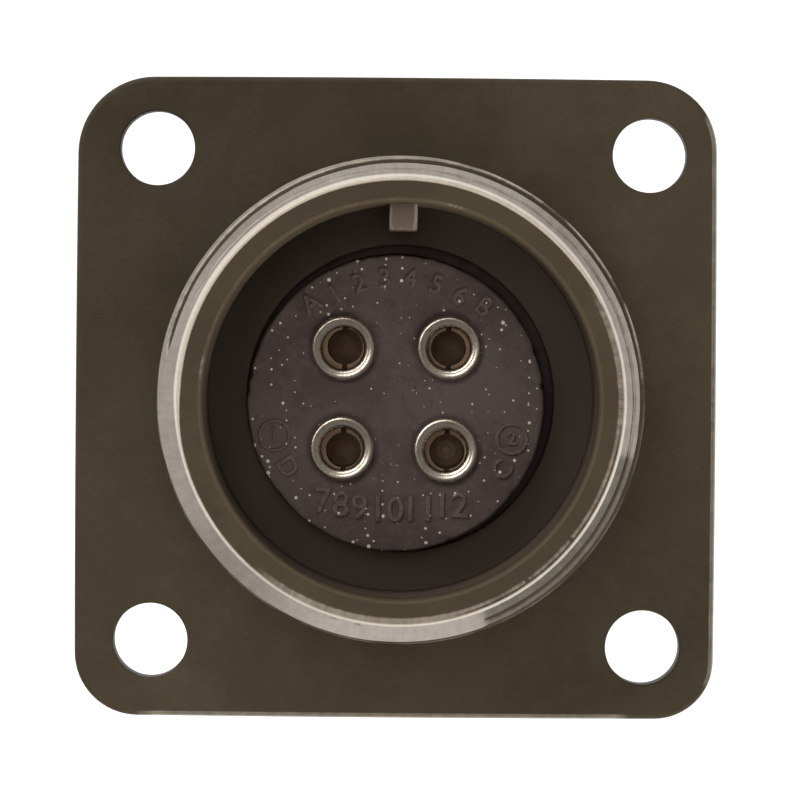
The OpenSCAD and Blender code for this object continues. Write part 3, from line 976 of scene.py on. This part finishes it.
class RECEPTACLE_OT_thread(bpy.types.Operator):
    """Cut the coupling thread into its ring, with the worn and tapered start"""
    bl_idname = "receptacle.thread"
    bl_label = "Coupling thread"

    def execute(self, context):
        b, s = context.scene.receptacle_barrel, context.scene.receptacle_flange
        mm = lambda value: value / MM
        top, seam, rim = mm(SHELL_HIGH.z), mm(b.seam_radius), mm(b.rim_radius)
        major, foot, rounding = mm(b.thread_radius), mm(s.thick), mm(b.rim_round)
        relief, relief_top = mm(b.relief_radius), mm(s.thick) + mm(b.relief_width)
        shoulder = top - mm(b.taper)
        profile = [(seam, foot), (seam, top)]
        profile += spaced((seam, top), (rim - rounding - 0.2, top), 0.1)[1:]
        profile += spaced((rim - rounding - 0.2, top), (rim - rounding, top), 0.05)
        profile += arc(rim - rounding, top - rounding, rounding, 90, 15, 5)
        last = profile[-1]
        profile += spaced(last, (major, shoulder), 0.055)[1:]
        profile += spaced((major, shoulder), (major, relief_top + 0.8), 0.085)
        profile += spaced((major, relief_top + 0.8), (relief, relief_top), 0.12)
        profile += spaced((relief, relief_top), (relief, foot), 0.5)
        profile += [(relief, foot)]
        parts = MeshParts()
        parts.rings(lathe(profile, b.columns), close=True)
        piece = parts.piece("coupling_thread", merge=1e-7, sharp=40)
        piece = use_rule(piece, thread_rule(), **{
            "Major radius": b.thread_radius, "Root radius": b.root_radius,
            "Pitch": b.pitch, "Crest": b.crest, "Start": b.start,
            "Wall from": b.seam_radius + 0.6 * MM, "Foot": relief_top * MM,
            "Worn from": b.worn_from, "Worn to": b.worn_to,
            "Worn depth": 14.3 * MM, "Material": finish("shell")})
        mesh = piece.data
        count = len(mesh.vertices)
        co = np.empty(count * 3)
        mesh.vertices.foreach_get("co", co)
        co = co.reshape(-1, 3)
        for turn, radius, z, reach, depth in RIM_NICKS:
            a = math.radians(turn)
            place_at = np.array([radius * math.cos(a), radius * math.sin(a), z]) * MM
            near = np.exp(-((co - place_at) ** 2).sum(1) / (reach * MM) ** 2 * 2)
            inward = np.array([-math.cos(a) * 0.7, -math.sin(a) * 0.7, -0.7])
            co += near[:, None] * inward * depth * MM
        mesh.vertices.foreach_set("co", co.ravel())
        radial = np.hypot(co[:, 0], co[:, 1]) / MM
        z = co[:, 2] / MM
        turn = np.degrees(np.arctan2(co[:, 1], co[:, 0])) % 360
        groove = np.empty(count, np.float32)
        mesh.attributes["groove"].data.foreach_get("value", groove)
        rub, polish_and_painted_light = rim_wear(turn, radial, z, groove, rim, top, shoulder)
        put_attribute(mesh, "rub", rub)
        put_attribute(mesh, "polish_and_painted_light", polish_and_painted_light)
        soften(mesh, 50)
        finish_piece(piece, "shell_finish", finish("shell"), "shell")
        return {"FINISHED"}


# ---------------------------------------------------------------- key and spline

def rounded_bar(name, section, low, high, bevel, segments=3):
    """A bar of a flat section in (x, y) millimetres, from one height to another."""
    form = bmesh.new()
    base = [form.verts.new((x * MM, y * MM, low * MM)) for x, y in section]
    face = form.faces.new(base)
    swept = bmesh.ops.extrude_face_region(form, geom=[face])
    bmesh.ops.translate(form, vec=(0, 0, (high - low) * MM), verts=[
        v for v in swept["geom"] if isinstance(v, bmesh.types.BMVert)])
    bmesh.ops.recalc_face_normals(form, faces=form.faces)
    return form


class RECEPTACLE_OT_key(bpy.types.Operator):
    """Make the polarising key in the bore and the spline behind the lip"""
    bl_idname = "receptacle.key"
    bl_label = "Key and spline"

    def execute(self, context):
        k, b = context.scene.receptacle_key, context.scene.receptacle_barrel
        mm = lambda value: value / MM
        half, inner, wall = mm(k.width) / 2, mm(k.inner), mm(b.bore_radius) + 0.12
        top, lead, low = mm(k.top), mm(k.lead), mm(b.lip_top) - 0.05
        # seen from the side: (y, z) corners, then swept across the width
        side = [(wall, low), (inner, low), (inner, top - lead)]
        side += [(inner + lead, top), (wall, top)]
        form = bmesh.new()
        loop = [form.verts.new((-half * MM, y * MM, z * MM)) for y, z in side]
        face = form.faces.new(loop)
        swept = bmesh.ops.extrude_face_region(form, geom=[face])
        bmesh.ops.translate(form, vec=(2 * half * MM, 0, 0), verts=[
            v for v in swept["geom"] if isinstance(v, bmesh.types.BMVert)])
        bmesh.ops.recalc_face_normals(form, faces=form.faces)
        edges = [e for e in form.edges
                 if max(v.co.y for v in e.verts) < (wall - 0.05) * MM
                 or min(v.co.z for v in e.verts) > (top - 0.01) * MM]
        bmesh.ops.bevel(form, geom=edges, offset=0.07 * MM, segments=3, profile=0.5,
                        affect="EDGES")
        bmesh.ops.subdivide_edges(
            form, edges=[e for e in form.edges if e.calc_length() > 0.5 * MM],
            cuts=6, use_grid_fill=True)
        bmesh.ops.triangulate(form, faces=[f for f in form.faces if len(f.verts) > 4])
        mesh = bpy.data.meshes.new("polarising_key")
        form.to_mesh(mesh)
        form.free()
        piece = show("polarising_key", mesh, 30)
        co = np.array([v.co[:] for v in mesh.vertices]) / MM
        near_top = np.clip((co[:, 2] - (top - lead - 0.5)) / 0.5, 0, 1)
        side_edge = np.abs(np.abs(co[:, 0]) - half) < 0.09
        front_edge = np.abs(co[:, 1] - inner) < 0.25
        rub = 0.1 + near_top * (0.3 * side_edge + 0.28 * front_edge)
        rub += 0.25 * (co[:, 0] > half - 0.1) * near_top
        put_attribute(mesh, "rub", np.clip(rub, 0, 0.9))
        put_attribute(mesh, "groove", np.zeros(len(co)))
        put_attribute(mesh, "polish_and_painted_light", np.full(len(co), 0.3))
        finish_piece(piece, "shell_finish", finish("shell"), "shell")

        half, face_y = mm(k.spline_width) / 2, mm(k.spline_inner)
        outer = mm(b.pocket_radius) + 0.15
        form = rounded_bar("spline", [(-half, -outer), (half, -outer),
                                      (half, -face_y), (-half, -face_y)],
                           mm(k.spline_low), mm(b.lip_rear), 0.05)
        bmesh.ops.bevel(form, geom=[e for e in form.edges
                                    if max(v.co.y for v in e.verts) > -(face_y + 0.02) * MM
                                    and min(v.co.y for v in e.verts) > -(face_y + 0.02) * MM],
                        offset=0.06 * MM, segments=2, profile=0.5, affect="EDGES")
        mesh = bpy.data.meshes.new("insert_spline")
        form.to_mesh(mesh)
        form.free()
        piece = show("insert_spline", mesh, 30)
        put_attribute(mesh, "rub", np.full(len(mesh.vertices), 0.1))
        put_attribute(mesh, "groove", np.zeros(len(mesh.vertices)))
        put_attribute(mesh, "polish_and_painted_light", np.zeros(len(mesh.vertices)))
        finish_piece(piece, "shell_finish", finish("shell"), "shell")
        return {"FINISHED"}


# ---------------------------------------------------------------- rubber inserts

def mark(text, size, raise_by, x, y, turn=0.0, back=False):
    """Moulded characters, standing on a face at height zero round (x, y)."""
    curve = bpy.data.curves.new("mark_" + text, "FONT")
    curve.body = text
    curve.size = size * 1.35
    curve.align_x, curve.align_y = "CENTER", "CENTER"
    curve.offset = -0.012 * MM
    curve.extrude = raise_by * 0.8
    curve.bevel_depth = raise_by * 0.35
    curve.bevel_resolution = 1
    curve.resolution_u = 4
    return bake_mark(curve, x, y, turn, back)


def bake_mark(curve, x, y, turn, back):
    carrier = bpy.data.objects.new("mark", curve)
    bpy.context.scene.collection.objects.link(carrier)
    bpy.context.view_layer.update()
    mesh = bpy.data.meshes.new_from_object(
        carrier.evaluated_get(bpy.context.evaluated_depsgraph_get()))
    bpy.data.objects.remove(carrier)
    bpy.data.curves.remove(curve)
    matrix = Matrix.Translation((x, y, 0)) @ Matrix.Rotation(turn, 4, "Z")
    if back:
        matrix = matrix @ Matrix.Rotation(math.pi, 4, "Y")
    mesh.transform(matrix)
    points = np.array([v.co[:] for v in mesh.vertices])
    faces = [list(p.vertices) for p in mesh.polygons]
    bpy.data.meshes.remove(mesh)
    return points, faces


def ring_mark(radius, width, height, x, y):
    """A raised round line, closed all round."""
    section = [(radius - width / 2, -height), (radius - width / 2, height * 0.5),
               (radius - width / 4, height), (radius + width / 4, height),
               (radius + width / 2, height * 0.5), (radius + width / 2, -height)]
    rings = [circle(r, z, 72, x, y) for r, z in section]
    faces, n = [], 72
    for row in range(len(rings)):
        low, high = row * n, (row + 1) % len(rings) * n
        faces += [[low + i, low + (i + 1) % n, high + (i + 1) % n, high + i]
                  for i in range(n)]
    return np.vstack(rings), faces


def ragged_ring(radius, columns, wander, chance):
    """A ring whose radius wanders a little, as a moulded edge does."""
    turn = np.arange(columns) * TURN / columns
    noise = np.zeros(columns)
    for waves in (2, 3, 5, 9, 14, 23, 37, 61):
        noise += chance.normal(0, 1) / waves ** 0.45 * np.cos(
            waves * turn + chance.uniform(0, TURN))
    noise = np.clip(noise / 2.2, -1.0, 0.35)
    nibble = (chance.random(columns) < 0.05) * chance.uniform(-0.8, 0.2, columns)
    noise += np.convolve(np.r_[nibble, nibble[:2]], (0.5, 1.0, 0.5), "same")[:columns]
    return radius + wander * noise


def insert_solid(name, s, face_z, base_z, steps, relief, seed, spacing):
    """A moulded insert: a shaped face, its side in steps, and a flat far side."""
    chance = np.random.default_rng(seed)
    columns = 360
    up = 1 if face_z > base_z else -1
    turn = np.arange(columns) * TURN / columns
    shift_x = FRONT_LOW.x / 2 + FRONT_HIGH.x / 2
    edge = ragged_ring(steps[0][0], columns, s.ragged if up > 0 else s.ragged * 0.4,
                       chance)
    flat = np.column_stack([np.cos(turn), np.sin(turn)])
    offset = np.array([shift_x, 0.0])
    parts = MeshParts()

    def loop(radius, z, notch=False):
        reach = radius if np.ndim(radius) else np.full(columns, radius)
        xy = flat * reach[:, None] + offset
        if up > 0 and reach.max() < 7.1 * MM:
            xy[:, 1] -= s.boss_drop
        if notch:
            inside = (np.abs(xy[:, 0]) < 0.88 * MM) & (xy[:, 1] < 0)
            xy[inside] *= (7.6 * MM / np.hypot(*xy[inside].T))[:, None]
        return np.column_stack([xy, np.full(columns, z)])

    rounding = s.edge_round
    outer = loop(edge - rounding, face_z)
    holes = []
    if up > 0:
        hole = [(s.hole_radius, face_z), (s.hole_radius, face_z - 0.3 * MM),
                (s.hole_radius, s.seat_top), (s.seat_radius, s.seat_top),
                (s.seat_radius, base_z)]
    else:
        wall, end, soft = s.collar_wall, REAR_LOW.z, 0.12 * MM
        hole = [(s.cup_radius + wall + soft, face_z),
                (s.cup_radius + wall + soft * 0.3, face_z - soft * 0.3),
                (s.cup_radius + wall, face_z - soft), (s.cup_radius + wall, end + soft),
                (s.cup_radius + wall - soft * 0.3, end + soft * 0.3),
                (s.cup_radius + wall - soft, end), (s.cup_radius + soft, end),
                (s.cup_radius + soft * 0.3, end + soft * 0.3),
                (s.cup_radius, end + soft), (s.cup_radius, base_z)]
    for letter in CONTACTS:
        x, y = contact_centre(letter)
        holes.append([circle(radius, z, 72, x, y) for radius, z in hole])

    def height(x, y):
        return face_z + up * relief(x, y)

    for tube in holes:
        tube[0][:, 2] = height(tube[0][:, 0], tube[0][:, 1])
        parts.rings(tube)
    outer[:, 2] = height(outer[:, 0], outer[:, 1])
    local = outer - np.array([shift_x, 0, 0])
    moved = [tube[0] - np.array([shift_x, 0, 0]) for tube in holes]
    face = MeshParts()
    drilled_face(face, local, moved, spacing,
                 lambda x, y: height(x + shift_x, y), seed)
    parts.add(np.vstack(face.points) + np.array([shift_x, 0, 0]), face.faces)
    side = [outer]
    for a in np.radians((25, 50, 75, 90)):
        ring = loop(edge - rounding * (1 - math.sin(a)), 0.0)
        ring[:, 2] = outer[:, 2] * 1.0 - up * rounding * (1 - math.cos(a))
        side.append(ring)
    for radius, z in steps[1:]:
        side.append(loop(radius, z, radius > 7.0 * MM))
    parts.rings(side)
    plate(parts, base_z, side[-1], [tube[-1] for tube in holes])
    return parts


class RECEPTACLE_OT_front_insert(bpy.types.Operator):
    """Mould the front insert, with its ragged edge and raised marks"""
    bl_idname = "receptacle.front_insert"
    bl_label = "Front insert"

    def execute(self, context):
        s = context.scene.receptacle_insert
        centres = [contact_centre(letter) for letter in CONTACTS]
        chance = np.random.default_rng(s.seed)
        waves = [(chance.uniform(0.4, 1.6), chance.uniform(0, TURN),
                  chance.uniform(0, TURN)) for _ in range(7)]

        def relief(x, y):
            out = np.zeros_like(x)
            for rate, lean, phase in waves:
                out += 0.006 * MM * np.sin(
                    rate / MM * (x * math.cos(lean) + y * math.sin(lean)) + phase)
            for cx, cy in centres:
                away = np.hypot(x - cx, y - cy) / MM
                out -= s.dimple * np.clip((1.78 - away) / 0.36, 0, 1) ** 1.3
            return out

        face_z, base_z = FRONT_HIGH.z, FRONT_LOW.z
        lip_rear = context.scene.receptacle_barrel.lip_rear
        steps = [(s.boss_radius, face_z), (s.boss_radius - 0.02 * MM, face_z - 0.9 * MM),
                 (s.boss_radius, 6.6 * MM), (s.boss_radius + 0.08 * MM, 6.1 * MM),
                 (s.boss_radius + 0.08 * MM, lip_rear + 0.02 * MM),
                 (s.collar_radius - 0.15 * MM, lip_rear),
                 (s.collar_radius, lip_rear - 0.15 * MM),
                 (s.collar_radius, base_z + 0.1 * MM),
                 (s.collar_radius - 0.1 * MM, base_z)]
        parts = insert_solid("front_insert", s, face_z, base_z, steps, relief,
                             s.seed, s.spacing)
        plain = parts.count
        middle = FRONT_LOW.x / 2 + FRONT_HIGH.x / 2

        def stand(points, faces):
            points = np.array(points)
            points[:, 2] += face_z + relief(points[:, 0], points[:, 1])
            parts.add(points, faces)

        def at(sign, size, x, y, lean=0.0):
            stand(*mark(sign, size * MM, s.mark_height, middle + x * MM, y * MM, lean))

        # a dial of plain numbers: 1 to 6 along the top, 7 to 12 along the bottom
        for turn, sign in zip(np.radians(np.linspace(121, 59, 6)), "123456"):
            at(sign, 0.92, 5.55 * math.cos(turn), 5.55 * math.sin(turn),
               turn - math.pi / 2)
        for x, sign in zip((-3.3, -2.45, -1.6, -0.35, 1.15, 2.6),
                           ("7", "8", "9", "10", "11", "12")):
            at(sign, 1.2, x, -5.12 + 0.035 * x * x)
        # contact letters, clockwise from the upper left
        for letter, x, y, lean in (("A", -3.95, 4.3, 38), ("B", 3.95, 4.3, -38),
                                   ("C", 4.95, -3.2, 55), ("D", -4.95, -3.2, -55)):
            at(letter, s.letter_size / MM * 0.8, x, y, math.radians(lean))
        for sign, x, y in (("1", -5.55, -1.75), ("2", 5.35, -1.75)):
            stand(*ring_mark(0.68 * MM, 0.15 * MM, s.mark_height,
                             middle + x * MM, y * MM))
            at(sign, 0.62, x, y)
        piece = parts.piece("front_insert_moulding", merge=1e-6, sharp=40, recalc=True)
        co = np.array([v.co[:] for v in piece.data.vertices])
        above = (co[:, 2] - face_z - relief(co[:, 0], co[:, 1])) / s.mark_height
        put_attribute(piece.data, "raised", np.clip(above * 1.2 - 0.2, 0, 1))
        finish_piece(piece, "insert_rubber", finish("front"), "front_insert")
        return {"FINISHED"}


class RECEPTACLE_OT_rear_insert(bpy.types.Operator):
    """Mould the rear insert, with its collars round the contacts"""
    bl_idname = "receptacle.rear_insert"
    bl_label = "Rear insert"

    def execute(self, context):
        s = context.scene.receptacle_insert
        steps = [(s.collar_radius, s.rear_face),
                 (s.collar_radius, REAR_HIGH.z - 0.1 * MM),
                 (s.collar_radius - 0.1 * MM, REAR_HIGH.z)]
        parts = insert_solid("rear_insert", s, s.rear_face, REAR_HIGH.z, steps,
                             lambda x, y: np.zeros_like(x), s.seed + 1, s.spacing * 2)
        for letter in CONTACTS:
            x, y = contact_centre(letter) * 1.88
            points, faces = mark(letter.upper(), 1.2 * MM, s.mark_height, x, y, back=True)
            points[:, 2] += s.rear_face
            parts.add(points, faces)
        piece = parts.piece("rear_insert_moulding", merge=1e-6, sharp=40, recalc=True)
        above = np.array([s.rear_face - v.co.z for v in piece.data.vertices])
        above = above / s.mark_height * (above < s.mark_height * 1.5)
        put_attribute(piece.data, "raised", np.clip(above * 1.2 - 0.2, 0, 1))
        finish_piece(piece, "insert_rubber", finish("rear"), "rear_insert")
        return {"FINISHED"}


# ---------------------------------------------------------------- contacts

# how far each hood sits off its cavity's axis, in millimetres
HOOD_LEAN = (-0.08, -0.07), (0.03, 0.0), (-0.06, 0.06), (-0.08, 0.07)


def hood_rule():
    """Starts a tree with a Seed input that turns a mesh's vertices into points."""
    graph, given = node_rule("set_out_hoods", {"Seed": 3})
    axes = graph.node("GeometryNodeMeshToPoints", {"Mesh": given["Geometry"]},
                      mode="VERTICES")
    return graph, given, axes


class RECEPTACLE_OT_hoods(bpy.types.Operator):
    """Turn the plated hood and set one on each contact"""
    bl_idname = "receptacle.hoods"
    bl_label = "Contact hoods"

    def execute(self, context):
        h = context.scene.receptacle_hood
        mm = lambda value: value / MM
        face, low = mm(FRONT_HIGH.z), mm(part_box("hood_a")[0].z)
        body, lip, entry, inner = (mm(h.body_radius), mm(h.lip_radius),
                                   mm(h.entry_radius), mm(h.inner_radius))
        top = mm(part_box("hood_a")[1].z)
        profile = spaced((body, low), (body, face - 0.3), 1.2)
        profile += [(body, face - 0.3), (body, face - 0.05)]
        profile += [(body + 0.02, face + 0.01), (lip - 0.03, face + 0.04)]
        profile += arc(lip - 0.16, top - 0.16, 0.16, -25, 92, 12)
        profile += [(lip - 0.21, top - 0.006), (lip - 0.26, top - 0.016)]
        profile += arc(entry + 0.22, top - 0.25, 0.22, 84, 180, 14)
        profile += [(entry, top - 0.5), (entry, face - 0.45), (inner, face - 0.55)]
        profile += spaced((inner, face - 0.6), (inner, low), 1.5)
        profile += [(inner, low)]
        parts = MeshParts()
        parts.rings(lathe(profile, h.columns), close=True)
        master = parts.piece("hood_master", merge=1e-7, sharp=50)

        axes = bpy.data.meshes.new("contact_hoods")
        axes.from_pydata([(contact_centre(letter)[0] + x * MM,
                           contact_centre(letter)[1] + y * MM, 0.0)
                          for letter, (x, y) in zip(CONTACTS, HOOD_LEAN)], [], [])
        piece = bpy.data.objects.new("contact_hoods", axes)
        context.scene.collection.objects.link(piece)
        graph, given = node_rule("set_out_hoods", {"Seed": 3})
        tree = graph.tree
        tree.interface.new_socket("Hood", in_out="INPUT", socket_type="NodeSocketObject")
        hood = graph.node("GeometryNodeObjectInfo", {"Object": given["Hood"]})
        points = graph.node("GeometryNodeMeshToPoints", {"Mesh": given["Geometry"]})
        spin = graph.node("FunctionNodeRandomValue", {"Seed": given["Seed"]},
                          data_type="FLOAT")
        spin.inputs[2].default_value, spin.inputs[3].default_value = 0.0, TURN
        turn = graph.node("ShaderNodeCombineXYZ", {"Z": spin.outputs[1]})
        placed = graph.node("GeometryNodeInstanceOnPoints",
                            {"Points": points.outputs[0],
                             "Instance": hood.outputs["Geometry"],
                             "Rotation": turn.outputs[0]})
        end_rule(graph, placed.outputs[0], given["Material"])
        use_rule(piece, graph, Seed=h.seed, Hood=master, Material=finish("hood"))
        bpy.data.objects.remove(master)
        soften(piece.data, 50)
        finish_piece(piece, "hood_silver", finish("hood"),
                     *("hood_" + letter for letter in CONTACTS))
        return {"FINISHED"}


class RECEPTACLE_OT_sockets(bpy.types.Operator):
    """Give the sockets, the washer and the retaining ring their finishes"""
    bl_idname = "receptacle.sockets"
    bl_label = "Sockets and retainers"

    def execute(self, context):
        wanted = {"socket_" + letter: "contact" for letter in CONTACTS}
        wanted.update(thrust_washer="retainer", retaining_ring="retainer")
        for name, kind in wanted.items():
            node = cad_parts[name]
            node.data.materials.clear()
            node.data.materials.append(finish(kind))
        return {"FINISHED"}


# ---------------------------------------------------------------- stage

def soft_light(name, place_at, target, size, power, tint, glossy=True):
    data = bpy.data.lights.new(name, "AREA")
    data.shape, data.size, data.energy, data.color = "DISK", size, power, tint
    lamp = bpy.data.objects.new(name, data)
    lamp.location = place_at
    lamp.visible_glossy = glossy
    aim = Vector(target) - Vector(place_at)
    lamp.rotation_euler = aim.to_track_quat("-Z", "Y").to_euler()
    bpy.context.scene.collection.objects.link(lamp)
    return lamp


class RECEPTACLE_OT_stage(bpy.types.Operator):
    """Lay the pale floor, and set the lights and the camera"""
    bl_idname = "receptacle.stage"
    bl_label = "Stage"

    def execute(self, context):
        scene, s = context.scene, context.scene.receptacle_stage
        half = s.floor_half
        mesh = bpy.data.meshes.new("pale_floor")
        mesh.from_pydata([(-half, -half, s.floor), (half, -half, s.floor),
                          (half, half, s.floor), (-half, half, s.floor)], [],
                         [(0, 1, 2, 3)])
        floor = bpy.data.objects.new("pale_floor", mesh)
        scene.collection.objects.link(floor)
        material = bpy.data.materials.new("pale_floor")
        material.use_nodes = True
        shader = material.node_tree.nodes["Principled BSDF"]
        shader.inputs["Base Color"].default_value = (0.25, 0.25, 0.25, 1)
        shader.inputs["Roughness"].default_value = 0.9
        shader.inputs["Emission Color"].default_value = (1, 1, 1, 1)
        shader.inputs["Emission Strength"].default_value = s.glow
        mesh.materials.append(material)

        world = bpy.data.worlds.new("studio")
        world.use_nodes = True
        back = world.node_tree.nodes["Background"]
        back.inputs["Color"].default_value = (1.0, 0.90, 0.79, 1)
        back.inputs["Strength"].default_value = s.surround
        scene.world = world

        centre = (0, 0, 8 * MM)
        warm = (1.0, 0.93, 0.83)
        soft_light("main_light", (-0.15, 0.20, 0.25), centre, 0.36, s.main_power, warm)
        soft_light("fill_light", (0.055, -0.095, 0.09), centre, 0.15, s.fill_power, warm,
                   glossy=False)
        soft_light("top_light", (-0.02, 0.02, 0.45), centre, 0.14, s.top_power, warm,
                   glossy=False)

        data = bpy.data.cameras.new("camera")
        data.lens, data.sensor_width = s.lens, 36.0
        data.dof.use_dof = False
        data.clip_start, data.clip_end = 0.02, 5.0
        camera = bpy.data.objects.new("camera", data)
        away = Vector((-math.tan(s.swing), math.tan(s.tilt), 1.0)).normalized()
        camera.location = Vector(s.aim) + away * s.distance
        right = Vector((0, 1, 0)).cross(away).normalized()
        axes = Matrix((right, away.cross(right), away)).transposed()
        camera.rotation_mode = "QUATERNION"
        camera.rotation_quaternion = (
            axes @ Matrix.Rotation(s.roll, 3, "Z")).to_quaternion()
        scene.collection.objects.link(camera)
        scene.camera = camera
        scene.view_settings.view_transform = "Standard"
        return {"FINISHED"}


class RECEPTACLE_PT_panel(bpy.types.Panel):
    """Lists the receptacle's pieces"""
    bl_label = "Receptacle"
    bl_idname = "RECEPTACLE_PT_panel"
    bl_space_type = "VIEW_3D"
    bl_region_type = "UI"
    bl_category = "Receptacle"

    def draw(self, context):
        for operator in OPERATORS:
            self.layout.operator(operator.bl_idname)
        for holder, group in SETTINGS.items():
            box = self.layout.box()
            box.label(text=group.__name__)
            for name in group.__annotations__:
                box.prop(getattr(context.scene, holder), name)


OPERATORS = (
    RECEPTACLE_OT_stage, RECEPTACLE_OT_flange, RECEPTACLE_OT_thread,
    RECEPTACLE_OT_key, RECEPTACLE_OT_front_insert, RECEPTACLE_OT_rear_insert,
    RECEPTACLE_OT_hoods, RECEPTACLE_OT_sockets)


def register():
    for made in (*SETTINGS.values(), *OPERATORS, RECEPTACLE_PT_panel):
        bpy.utils.register_class(made)
    for holder, group in SETTINGS.items():
        setattr(bpy.types.Scene, holder, PointerProperty(type=group))


def unregister():
    for holder in SETTINGS:
        delattr(bpy.types.Scene, holder)
    for made in reversed((*SETTINGS.values(), *OPERATORS, RECEPTACLE_PT_panel)):
        bpy.utils.unregister_class(made)


def main():
    register()
    bpy.ops.receptacle.stage()
    bpy.ops.receptacle.flange()
    bpy.ops.receptacle.thread()
    bpy.ops.receptacle.key()
    bpy.ops.receptacle.front_insert()
    bpy.ops.receptacle.rear_insert()
    bpy.ops.receptacle.hoods()
    bpy.ops.receptacle.sockets()


if __name__ == "__main__":
    main()
